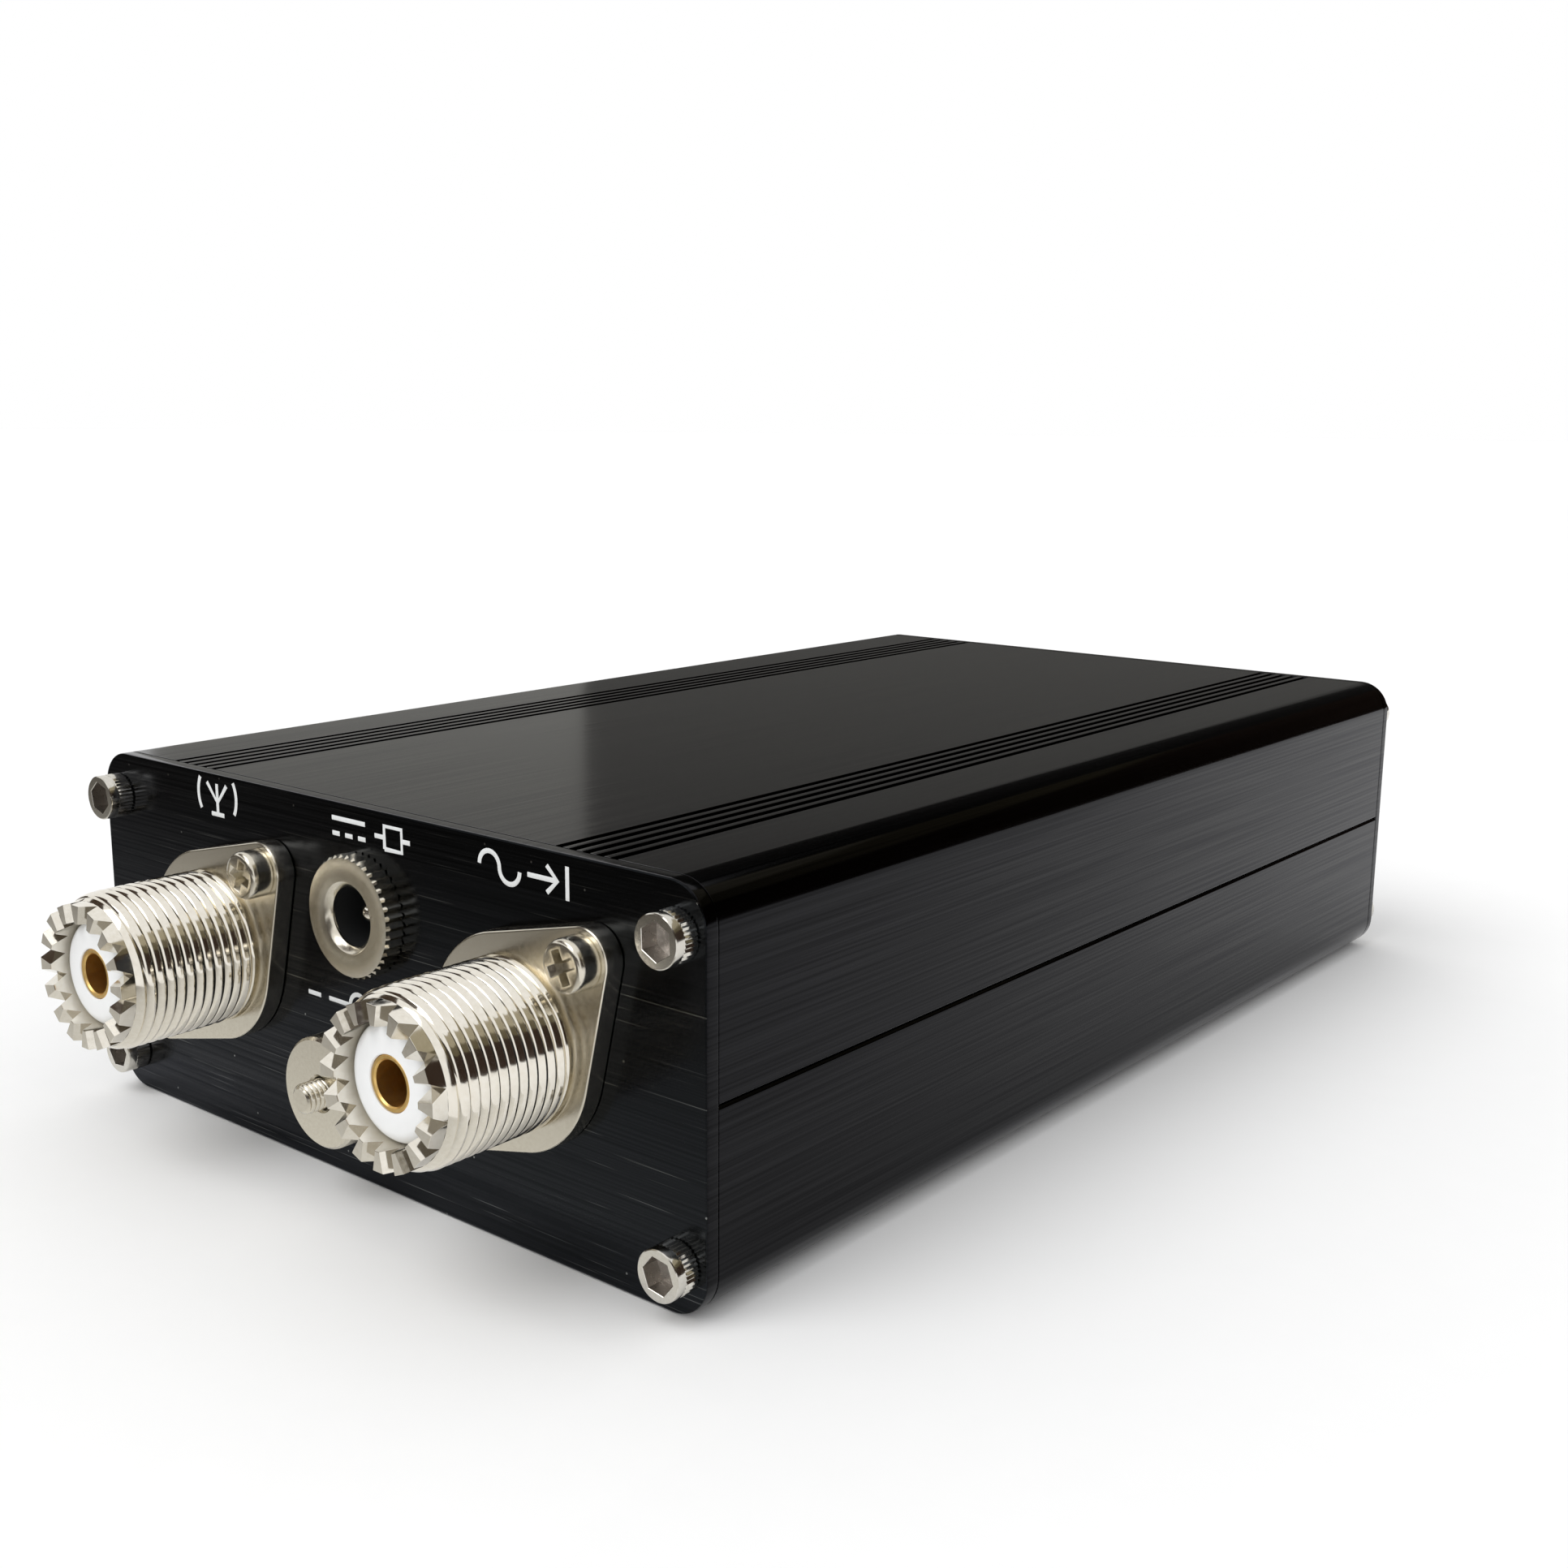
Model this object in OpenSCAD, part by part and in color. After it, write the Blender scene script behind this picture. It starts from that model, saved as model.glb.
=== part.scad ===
// Automatic antenna tuner in a split, extruded aluminium case.
// Millimetres, +Z up, origin at the middle of the underside.
// The connector panel faces -Y and the display panel faces +Y.

/* [Case] */
// Outside width of the case
case_w = 88; // [84:1:120]
// Outside height of the case
case_h = 38; // [36:1:60]
// Length of the extruded shells, without the end panels
case_l = 141; // [134:1:220]
// Radius of the four long outer corners
corner_r = 4; // [2:0.5:5]
// Thickness of the top and bottom walls
flat_wall = 1.6; // [1.2:0.1:2.4]
// Thickness of the side walls
side_wall = 2.2; // [1.8:0.1:3]
// Height of the lap where the side walls of the two shells overlap
lap_h = 1.5; // [1:0.1:3]
// Gap all round the lap
lap_gap = 0.1; // [0.05:0.05:0.3]
// Bevel on both outer edges of the seam
seam_bevel = 0.25; // [0.1:0.05:0.5]

/* [Case grooves] */
// Grooves in each group along the top and the bottom
groove_count = 5; // [1:1:8]
// Distance from groove to groove
groove_pitch = 1.65; // [1.2:0.05:2.5]
// Width of one groove
groove_w = 0.8; // [0.4:0.1:1]
// Depth of one groove
groove_d = 0.4; // [0.2:0.05:0.8]
// From the side of the case to the middle of the outermost groove
groove_edge = 11.7; // [8:0.1:16]

/* [End panels and their screws] */
// Thickness of both end panels
panel_t = 1.5; // [1:0.1:3]
// From the side of the case to a panel screw's axis
screw_edge_x = 3.1; // [2.8:0.1:5]
// From the top or bottom of the case to a panel screw's axis
screw_edge_z = 4.6; // [4:0.1:7]
// Thread diameter of the panel screws
panel_screw_d = 2.5; // [2:0.1:3]
// Length of the panel screws under the head
panel_screw_l = 8; // [5:0.5:14]
// Head diameter of the panel screws
panel_head_d = 4.75; // [4:0.05:6]
// Head height of the panel screws
panel_head_h = 2.5; // [1.5:0.1:3.5]
// Width across the flats of the hexagon socket
panel_hex = 3.2; // [1.5:0.1:3.4]
// Depth of the hexagon socket
panel_hex_depth = 1.5; // [0.8:0.1:2]
// Bevel round the front of a panel screw's head
panel_head_bevel = 0.3; // [0.1:0.1:0.6]
// Wall of the screw channels in the shells
channel_wall = 1.4; // [1:0.1:1.8]
// Width of the slot that opens each screw channel
channel_slot = 1; // [0.6:0.1:1.6]

/* [Sockets] */
// From the middle of the case to each socket's axis
socket_x = 22.5; // [20:0.1:24]
// Height of the socket axes above the underside
socket_z = 20.45; // [19:0.05:24]
// Outside diameter of the socket thread, 5/8 inch
thread_d = 15.875; // [14:0.125:18]
// From the panel's face to the end of the thread
thread_end = 13; // [9:0.1:14]
// Diameter of the toothed rim
rim_d = 14.5; // [12.5:0.1:15]
// From the panel's face to the foot of the teeth
rim_foot = 14.8; // [14.2:0.1:16]
// From the panel's face to the tips of the teeth
rim_tip = 16.5; // [16:0.1:19]
// Number of teeth round the rim
rim_teeth = 16; // [8:2:24]
// Width of the flat tip of a tooth, at the rim's outside
tooth_tip = 1.25; // [0.6:0.05:1.6]
// Solid band between the foot of the rim and the notches
notch_foot = 0.15; // [0.1:0.05:0.4]
// Thickness of the socket flange
flange_t = 2.1; // [1.5:0.1:3]
// Radius of the flange round the socket
flange_r = 9.95; // [9:0.05:11]
// Radius of the two flange ears
ear_r = 3; // [2.6:0.1:3.6]
// From the socket's axis to each ear's screw
ear_reach = 13.2; // [12.4:0.1:14]
// Slant of the ears from the level, in degrees
ear_angle = 45; // [35:5:55]
// Diameter of the spigot behind the flange
spigot_d = 12.4; // [11.4:0.1:14]
// Length of the spigot behind the flange
spigot_l = 5; // [3:0.5:8]
// Diameter of the insulator
insulator_d = 10.7; // [9:0.1:11]
// From the panel's face to the front of the insulator
insulator_front = 15; // [13:0.1:16]
// Rounding of the insulator's front edge
insulator_round = 1.2; // [0.4:0.1:2]
// How far the insulator stands out behind the spigot
insulator_tail = 0.75; // [0.5:0.05:1.5]
// Diameter of the centre contact
contact_d = 5; // [4.8:0.1:6]
// Bore of the centre contact, for a plug's pin
contact_bore = 4; // [3:0.1:4.2]
// Depth of the contact's bore
contact_bore_l = 12.5; // [8:0.5:13]
// Solid floor behind the contact's bore
contact_floor = 1; // [0.6:0.1:1.5]
// From the panel's face to the front of the contact
contact_front = 14.9; // [13.6:0.1:15]
// Diameter of the contact's solder tail
tail_d = 3.2; // [2.8:0.1:4]
// Length of the tail behind the insulator
tail_l = 7.5; // [5:0.5:10]
// Bore of the solder cup in the tail
cup_bore = 2; // [1.8:0.1:2.4]
// Depth of the solder cup
cup_l = 4; // [2:0.5:5]

/* [Socket screws] */
// Thread diameter of the socket screws
socket_screw_d = 2.5; // [2:0.1:3]
// Head diameter of the socket screws
pan_head_d = 4.8; // [4:0.1:5.6]
// Head height of the socket screws
pan_head_h = 2.4; // [1.2:0.1:2.8]
// Upright side of a domed head, as a share of its height
pan_side_share = 0.6; // [0.3:0.05:0.7]
// Width of the cross recess, as a share of the head's diameter
recess_w_share = 0.2; // [0.1:0.01:0.24]
// Length of the cross recess, as a share of the head's diameter
recess_l_share = 0.65; // [0.4:0.05:0.7]
// Width across the flats of the socket screw nuts
socket_nut_af = 5; // [4:0.1:5.4]
// Thickness of the socket screw nuts
socket_nut_t = 2; // [1.4:0.1:2.6]

/* [Power jack] */
// Jack axis, to the right of the case's middle
jack_x = 0.4; // [-1:0.1:1]
// Height of the jack's axis above the underside
jack_z = 27.6; // [27:0.1:28]
// Diameter of the knurled ring nut
ring_d = 12.1; // [10:0.1:13]
// Thickness of the ring nut
ring_t = 2; // [1.8:0.1:4]
// Thickness of the lip at the ring nut's front
ring_lip = 0.8; // [0.6:0.1:1.2]
// Hole in the ring nut's lip
ring_hole = 5.8; // [5.6:0.1:6.2]
// Countersink of the hole, at the ring nut's face
ring_sink = 7; // [6.3:0.1:7.4]
// Bevel round the ring nut's face
ring_bevel = 0.25; // [0.1:0.05:0.4]
// Thread diameter of the jack's neck
jack_thread_d = 8; // [7.6:0.1:9]
// Bore of the jack, for a 5.5 mm plug
jack_bore = 6; // [5.8:0.1:6.4]
// Depth of the jack's bore behind the panel's face
jack_bore_l = 10; // [8:0.5:11]
// Centre pin diameter of the jack
jack_pin_d = 2.1; // [1.8:0.1:2.5]
// Diameter of the jack's collar behind the panel
collar_d = 11; // [10:0.1:12]
// Thickness of the jack's collar
collar_t = 2; // [1.5:0.1:3]
// Diameter of the jack's body
jack_body_d = 9.4; // [8.6:0.1:10]
// Length of the jack's body behind its collar
jack_body_l = 10; // [9.5:0.5:12]
// Length of the jack's solder tabs
tab_l = 5; // [3:0.5:6]
// Width of the jack's solder tabs
tab_w = 2; // [1.5:0.1:2.6]
// Thickness of the jack's solder tabs
tab_t = 0.6; // [0.4:0.1:0.9]

/* [Ground post] */
// Height of the ground post above the underside
post_z = 11.05; // [10:0.05:13]
// Diameter of the ground stud
stud_d = 3; // [2.5:0.1:4]
// From the panel's face to the stud's free end
stud_out = 7.9; // [7.8:0.1:12]
// Thickness of the hexagon nut on the panel
post_nut_t = 2; // [1.5:0.1:2.6]
// Width across the flats of the hexagon nut
post_nut_af = 5.5; // [5:0.1:7]
// Diameter of the washer
washer_d = 7; // [6:0.1:9]
// Thickness of the washer
washer_t = 0.5; // [0.4:0.1:1]
// Diameter of the flat thumb nut
thumb_d = 11; // [10:0.1:12]
// Thickness of the thumb nut
thumb_t = 3.2; // [2:0.1:3.4]
// Bevel round both faces of the thumb nut
thumb_bevel = 0.3; // [0.1:0.1:0.6]
// Diameter of the stud's head inside the case
stud_head_d = 5.6; // [5:0.1:7]
// Height of the stud's head
stud_head_h = 1.8; // [1.4:0.1:2.6]
// Thickness of the ground lug
lug_t = 0.6; // [0.4:0.1:1]
// Radius of the ground lug's eye
lug_r = 3.3; // [3:0.1:4]
// Width of the ground lug's tail
lug_tail_w = 3; // [2.4:0.1:4]
// Height of the lug's tail above the stud's axis
lug_rise = 6; // [5:0.5:8]
// Reach of the lug's bent end into the case
lug_reach = 5; // [3.5:0.5:7]

/* [Circuit board] */
// Height of the board's underside above the case's underside
board_z = 8.5; // [8:0.1:10]
// Thickness of the board
board_t = 1.6; // [1:0.2:2]
// Depth of the board slots in the side walls
slot_depth = 2; // [1.2:0.1:2.6]
// Thickness of the ribs on both sides of a slot
slot_rib = 1.2; // [0.8:0.1:1.6]
// Play of the board in its slots
board_gap = 0.25; // [0.1:0.05:0.4]
// From the connector panel to the board
board_rear = 13.5; // [12:0.5:18]
// From the board to the display panel
board_front = 8.5; // [8:0.1:10]

/* [Relays] */
// Relays in each bank, where the board has room for them
relay_count = 7; // [4:1:7]
// Length of a relay
relay_l = 20; // [16:0.5:20.5]
// Width of a relay
relay_w = 10; // [7:0.5:10.5]
// Height of a relay
relay_h = 11.5; // [8:0.5:13]
// Distance from relay to relay
relay_pitch = 11.6; // [11:0.1:12]
// Rounding of a relay's upright edges
relay_round = 0.8; // [0.4:0.1:1.5]
// Width of the polarity groove in a relay's top, twice its depth
relay_mark_w = 0.8; // [0.4:0.1:1.2]
// Length of the polarity groove
relay_mark_l = 7; // [4:0.5:7]
// From the end of a relay to its polarity groove
relay_mark_edge = 3.3; // [2:0.1:5]
// From the board's side edge to the relays
bank_edge = 3.5; // [3:0.5:5]
// From the bypass relay's front to the first relay of each bank
bank_start = 1; // [0.5:0.5:3]
// From the last relay of each bank to the supply parts, at least
bank_end = 1; // [0.5:0.5:3]
// Bypass relay, to the left of the board's middle
bypass_x = 6; // [4:0.5:7]
// From the board's rear edge to the bypass relay
bypass_start = 5; // [4.5:0.5:8]

/* [Coils and capacitors] */
// Toroid coils in the middle of the board
toroid_count = 3; // [1:1:3]
// Air coils in the middle of the board
air_count = 4; // [1:1:4]
// From the board's rear edge to the first coil's axis
column_start = 22; // [21:0.5:26]
// From the inductor relays to the coil column's axis
column_x = 13.05; // [12.05:0.5:15.05]
// Distance from coil to coil
column_pitch = 10; // [10:0.5:11]
// Outside diameter of a toroid core
toroid_od = 17.5; // [14:0.5:18]
// Inside diameter of a toroid core
toroid_id = 9.4; // [8:0.1:10]
// Thickness of a toroid core
toroid_t = 4.8; // [3.6:0.2:5.4]
// Rounding of a toroid core's edges
toroid_round = 1; // [0.6:0.1:1.6]
// Turns on a toroid core
toroid_turns = 10; // [6:1:12]
// Wire of the toroid coils
toroid_wire = 0.8; // [0.4:0.1:0.9]
// Share of the core that the turns cover, in degrees
toroid_arc = 290; // [200:10:300]
// Turns of an air coil, before its last half turn
air_turns = 5; // [3:1:6]
// Middle diameter of an air coil's turns
air_d = 7; // [5:0.5:8]
// Distance from turn to turn of an air coil
air_pitch = 2; // [1.8:0.1:2.4]
// Wire of the air coils
air_wire = 1.2; // [0.6:0.1:1.3]
// Clear height under an air coil
air_lift = 0.6; // [0.3:0.1:2]
// Width of a tuning capacitor
cap_w = 5.6; // [4:0.2:6]
// Thickness of a tuning capacitor
cap_t = 2.4; // [1.6:0.2:3]
// Height of a tuning capacitor
cap_h = 7; // [5:0.5:9]
// From the capacitor relays to the tuning capacitors' middle
cap_x = 3.8; // [3.3:0.5:6.3]
// Rounding of a tuning capacitor's upright edges
cap_round = 0.7; // [0.3:0.1:0.7]
// Length of the two-hole sensor core
sensor_l = 13.5; // [10:0.5:14]
// Height of the sensor core
sensor_h = 7.5; // [6:0.5:8]
// Thickness of the sensor core
sensor_t = 7; // [5:0.5:7.5]
// Diameter of the sensor core's two holes
sensor_hole = 3.8; // [3:0.1:4]
// Distance between the two holes
sensor_pitch = 6.8; // [5:0.1:6.8]
// Rounding of the sensor core's long edges
sensor_round = 2.5; // [1:0.1:2.9]
// Sensor core, to the right of the board's middle
sensor_x = 12.5; // [12:0.5:13]
// From the board's rear edge to the sensor core
sensor_start = 1.5; // [1:0.5:2]

/* [Supply and control parts] */
// Length of the controller chip's body
chip_l = 18; // [12:0.5:18]
// Width of the controller chip's body
chip_w = 7.5; // [5:0.5:8]
// Height of the controller chip above the board
chip_h = 2.6; // [2:0.1:3]
// Legs on each side of the controller chip
chip_legs = 14; // [8:1:14]
// Pitch of the chip's legs
chip_pitch = 1.27; // [1.27:0.01:1.29]
// Width of one leg of the chip
leg_w = 0.5; // [0.3:0.05:0.7]
// Reach of one leg beyond the chip's body
leg_reach = 1.4; // [1:0.1:2]
// Thickness of one leg
leg_t = 0.3; // [0.2:0.05:0.4]
// Controller chip, to the right of the board's middle
chip_x = 7; // [5:0.5:8]
// From the board's front edge to the chip's middle
chip_back = 13; // [12:0.5:16]
// Diameter of a filter capacitor
can_d = 8; // [6:0.5:8.5]
// Height of a filter capacitor
can_h = 12; // [8:0.5:16]
// Filter capacitors, to the right of the board's middle
can_x = 32; // [31:0.5:34]
// Distance between the two filter capacitors
can_pitch = 9.5; // [9:0.5:10]
// From the board's front edge to the first filter capacitor's axis
can_back = 6; // [5.5:0.5:8]
// Radius of the bead rolled into a filter capacitor
bead_r = 0.5; // [0.3:0.1:0.8]
// Height of the bead above the board
bead_z = 2.4; // [1.5:0.1:3]
// Width of the regulator's body
reg_w = 10; // [8:0.5:10.5]
// Height of the regulator's body
reg_h = 9; // [7:0.5:10]
// Thickness of the regulator's body
reg_t = 4.4; // [3:0.2:5]
// Height of the regulator's metal tab above its body
reg_tab_h = 6.4; // [5:0.2:7]
// Thickness of the regulator's metal tab
reg_tab_t = 1.3; // [1:0.1:1.5]
// Hole in the regulator's tab
reg_hole = 3.6; // [3:0.1:4]
// Height of the regulator's legs
reg_lift = 3; // [2:0.5:4]
// Distance from leg to leg of the regulator
reg_leg_pitch = 2.54; // [2:0.02:3]
// Regulator, to the right of the board's middle
reg_x = 21.5; // [21.5:0.1:22]
// From the board's front edge to the regulator
reg_back = 22; // [21:0.5:23]

/* [Display] */
// Display's middle, to the right of the case's middle
display_x = 20; // [19:0.5:21]
// Height of the display's middle
display_z = 20; // [19:0.5:21]
// Width of the opening in the display panel
window_w = 24; // [18:0.5:25]
// Height of the opening in the display panel
window_h = 13; // [9:0.5:15]
// Rounding of the opening's corners
window_r = 1.5; // [0.5:0.1:3]
// How far the clear pane reaches past the opening
pane_lap = 1.8; // [1:0.1:2]
// Thickness of the clear pane
pane_t = 1; // [0.8:0.1:2]
// Width of the display glass
glass_w = 26.7; // [25:0.1:27]
// Height of the display glass
glass_h = 19.2; // [15:0.1:19.4]
// Thickness of the display glass
glass_t = 1.5; // [1:0.1:2]
// Width of the display's own board
module_w = 27.3; // [27:0.1:28.4]
// Margin of the display's own board above and below its pillars
module_edge = 0.35; // [0.2:0.05:0.8]
// Thickness of the display's own board
module_t = 1.2; // [0.8:0.1:1.6]
// Distance between the display's screws, across
spacer_pitch = 23.4; // [20:0.1:24]
// Gap between the display glass and the pillars above and below it
glass_gap = 0.5; // [0.3:0.1:0.8]
// Diameter of the pillars that carry the display
spacer_d = 3.2; // [2.8:0.1:3.4]
// Thread diameter of the display's screws
display_screw_d = 1.6; // [1.4:0.1:2]
// Head diameter of the display's screws
display_head_d = 3; // [2.6:0.1:3.4]
// Head height of the display's screws
display_head_h = 1.1; // [0.8:0.1:1.2]
// Gap between the ends of the display's screws and the panel
display_screw_end = 0.5; // [0.3:0.1:1]
// Width of the ribbon from the display to the board
ribbon_w = 10; // [6:0.5:12]
// Thickness of the ribbon
ribbon_t = 0.9; // [0.6:0.1:1.2]
// Level run of the ribbon from the display's board to its bend
ribbon_run = 6; // [5:0.5:7]
// Radius of the ribbon's bend, at its middle
ribbon_r = 3; // [2:0.5:3.5]
// From the top of the display's board to the ribbon
ribbon_drop = 1.6; // [1:0.2:3]
// Height of the socket that takes the ribbon
ribbon_socket_h = 5; // [4:0.5:7]
// Length of the socket that takes the ribbon, along the case
ribbon_socket_l = 2.7; // [2:0.1:4]

/* [Buttons] */
// Height of the button axes above the board
button_rise = 4; // [3.8:0.1:4.4]
// First small button, to the left of the case's middle
button_start = 1; // [0:0.5:2]
// Distance from small button to small button
button_pitch = 10; // [9:0.5:10.5]
// Diameter of the small buttons
button_d = 5.4; // [4:0.1:6]
// How far the small buttons stand out of the panel
button_out = 1.6; // [1:0.1:3]
// Travel of the small buttons
button_travel = 0.4; // [0.2:0.05:0.6]
// Width of a small button's switch
switch_w = 6; // [5:0.5:6.5]
// Height of a small button's switch
switch_h = 7.2; // [6.6:0.1:8]
// Length of a small button's switch
switch_l = 4.5; // [4:0.5:6]
// Diameter of the small buttons' stems
stem_d = 3.2; // [2.4:0.1:3.6]
// Depth of the stems in their switches
stem_in = 1.6; // [1:0.1:2]
// Power button, to the left of the case's middle
power_x = 32; // [31.5:0.5:32.5]
// Diameter of the power button
power_d = 7; // [6:0.1:8]
// How far the power button stands out of the panel
power_out = 3.2; // [3:0.1:5]
// Travel of the power button
power_travel = 2.5; // [1.5:0.1:2.8]
// Width of the power switch
power_switch_w = 8; // [7:0.5:8.5]
// Height of the power switch
power_switch_h = 8; // [7.4:0.1:8.6]
// Length of the power switch
power_switch_l = 13; // [11:0.5:14]
// Diameter of the power button's stem
power_stem_d = 4; // [3:0.1:4.4]
// Depth of the power button's stem in its switch
power_stem_in = 4; // [3:0.1:5]
// Rounding of the buttons' front edges
button_round = 0.5; // [0.2:0.1:0.8]

/* [Clearances and wires] */
// Radial clearance of a screw or spigot in a plain hole
hole_gap = 0.15; // [0.05:0.05:0.25]
// Radial clearance that stands for a screw thread or a close fit
thread_gap = 0.05; // [0.02:0.01:0.1]
// Radial clearance of a sliding stem in its switch
stem_gap = 0.1; // [0.05:0.01:0.1]
// Radial clearance of a button in the display panel
button_gap = 0.35; // [0.3:0.05:0.6]
// Gap left behind a stem that is pressed all the way
stem_end_gap = 0.4; // [0.3:0.1:0.8]
// Diameter of the insulated wires
wire_d = 1.6; // [1:0.1:1.7]
// How stiffly the wires bend, as the length of their curves' handles
wire_bend = 6; // [5:0.5:7]
// From the board's rear edge to the socket wires' pads
pad_edge = 4; // [3.5:0.5:5]
// Gap between a toroid core and its wire
winding_gap = 0.3; // [0.2:0.05:0.4]

/* [Hidden] */
$fn = 72;

// Colours
anodised = "#17181a";
nickel = "#c9c5ba";
steel = "#a9abad";
gold = "#b08a3c";
teflon = "#f1f2f2";
black_plastic = "#222324";
board_green = "#1d5a3a";
copper = "#b4683a";
red_core = "#9c2b22";
ferrite = "#3a3b3d";

// Case
half_h = case_h / 2;
inner_w = case_w - 2 * side_wall;
tongue_t = (side_wall - lap_gap) / 2;
shell_end = case_l / 2;
panel_face = shell_end + panel_t;
screw_x = case_w / 2 - screw_edge_x;
screw_rise = half_h - screw_edge_z;
channel_r = panel_screw_d / 2 + thread_gap + channel_wall;
// Cuts run this far past the faces that they open
past = 1;
// Edges round a wire, and points along a wire's curve and along one turn of a coil
wire_edges = 6;
curve_steps = 10;
turn_steps = 8;
// A direction that no lead runs along
lead_side = [1, 0.35, 0];

// Board
board_w = inner_w - 2 * board_gap;
board_y0 = -shell_end + board_rear;
board_y1 = shell_end - board_front;
board_top = board_z + board_t;
slot_h = board_t + board_gap;
bank_x = board_w / 2 - bank_edge - relay_l / 2;
bank_inner = bank_x - relay_l / 2;
bank_y0 = board_y0 + bypass_start + relay_w + bank_start;
bank_y1 = board_y1 - max(reg_back, can_back + can_pitch + can_d / 2) - bank_end;
// A shorter board holds fewer relays
bank_relays = min(relay_count, floor((bank_y1 - bank_y0 - relay_w) / relay_pitch) + 1);
column_y0 = board_y0 + column_start;
coil_x = column_x - bank_inner;
tuning_x = bank_inner - cap_x;

// Sockets
ear_tangent = acos((flange_r - ear_r) / ear_reach);
ear_xy = ear_reach * [cos(ear_angle), sin(ear_angle)];
thread_r = thread_d / 2;
rim_r = rim_d / 2;
insulator_r = insulator_d / 2;
insulator_back = spigot_l + insulator_tail;
contact_back = contact_front - contact_bore_l - contact_floor;
notch_w = PI * rim_d / rim_teeth - tooth_tip;
notch_d = rim_tip - rim_foot - notch_foot;

// Jack, measured along its axis from the panel's face
neck_front = ring_t - ring_lip - thread_gap;
collar_back = panel_t + collar_t;
jack_back = collar_back + jack_body_l;
jack_tab_y = -panel_face + jack_back + tab_l;
sleeve_tab_z = jack_z - jack_body_d / 2 + tab_w / 2;

// Ground post, measured along its axis from the panel's face
washer_back = post_nut_t;
thumb_back = washer_back + washer_t;
stud_head_back = panel_t + lug_t;
lug_top = post_z + lug_rise;
lug_end_y = -shell_end + lug_reach;

// Socket wires, along Y
wire_start_y = -panel_face + insulator_back + tail_l - cup_l + stem_gap;
pad_y = board_y0 + pad_edge;

// Display, measured along Y
pane_y = shell_end - pane_t;
glass_y = pane_y - glass_t;
module_y = glass_y - module_t;
pillar_l = pane_t + glass_t;
pillar_rise = glass_h / 2 + glass_gap + spacer_d / 2;
module_h = 2 * pillar_rise + spacer_d + 2 * module_edge;
ribbon_z = display_z + module_h / 2 - ribbon_drop - ribbon_t;
ribbon_y = module_y - ribbon_run;

// Buttons
button_z = board_top + button_rise;
button_names = ["tune", "auto", "bypass"];
cap_back = board_y1 + button_travel + stem_end_gap;
power_back = board_y1 + power_travel + stem_end_gap;

// A profile drawn in X and Z, extruded along Y from y0 to y1
module along_y(y0, y1) {
    translate([0, y1, 0]) rotate([90, 0, 0]) linear_extrude(y1 - y0) children();
}

// Puts a piece on the connector panel's face, its own +Z pointing out of the case
module on_connector_panel(x, z) {
    translate([x, -panel_face, z]) rotate([90, 0, 0]) children();
}

// Puts a piece on the display panel's face, its own +Z pointing out of the case
module on_display_panel(x, z) {
    translate([x, panel_face, z]) rotate([90, 0, 180]) children();
}

module rounded_rect(w, h, r) {
    square([w, h - 2 * r], center = true);
    square([w - 2 * r, h], center = true);
    for (x = [-1, 1], y = [-1, 1]) translate([x * (w / 2 - r), y * (h / 2 - r)]) circle(r);
}

// A plate or block with four round upright edges, standing on z = 0
module rounded_block(w, l, h, r) {
    linear_extrude(h) rounded_rect(w, l, r);
}

// The four panel screws, seen from outside in X and Z
module panel_screw_spots() {
    for (x = [-1, 1], z = [-1, 1]) translate([x * screw_x, half_h + z * screw_rise]) children();
}

// The two ear screws of one socket, about the socket's axis
module ear_spots() {
    for (side = [-1, 1]) translate(side * ear_xy) children();
}

module both_sockets() {
    for (side = [-1, 1]) on_connector_panel(side * socket_x, socket_z) children();
}

module hex_nut(af, t, bore_d) {
    difference() {
        cylinder(d = af / cos(30), h = t, $fn = 6);
        translate([0, 0, -past]) cylinder(d = bore_d, h = t + 2 * past);
    }
}

// A screw with a domed head and a cross recess; z = 0 is under the head
module pan_screw(d, l, head_d, head_h) {
    side_h = head_h * pan_side_share;
    dome = head_h - side_h;
    dome_r = (pow(head_d / 2, 2) + pow(dome, 2)) / (2 * dome);
    recess_w = head_d * recess_w_share;
    recess_l = head_d * recess_l_share;
    difference() {
        rotate_extrude() intersection() {
            translate([0, head_h - dome_r]) circle(dome_r);
            square([head_d / 2, head_h]);
        }
        for (turn = [0, 90]) rotate(turn) translate([0, 0, head_h])
            cube([recess_l, recess_w, head_h], center = true);
    }
    translate([0, 0, -l]) cylinder(d = d, h = l);
}

// A cap screw with a hexagon socket; z = 0 is under the head
module cap_screw() {
    r = panel_head_d / 2;
    difference() {
        rotate_extrude() polygon([
            [0, 0], [r, 0], [r, panel_head_h - panel_head_bevel],
            [r - panel_head_bevel, panel_head_h], [0, panel_head_h]]);
        translate([0, 0, panel_head_h - panel_hex_depth])
            cylinder(d = panel_hex / cos(30), h = panel_hex_depth + past, $fn = 6);
    }
    translate([0, 0, -panel_screw_l]) cylinder(d = panel_screw_d, h = panel_screw_l);
}

function unit(v) = v / norm(v);
function tangent(path, i) = unit(path[min(i + 1, len(path) - 1)] - path[max(i - 1, 0)]);
// A cubic curve that leaves point a along leave and comes to point b along arrive
function curve(a, leave, b, arrive, steps) = [
    for (i = [0:steps]) let (t = i / steps, s = 1 - t)
        s * s * s * a + 3 * s * s * t * (a + leave) + 3 * s * t * t * (b - arrive) + t * t * t * b];

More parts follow.
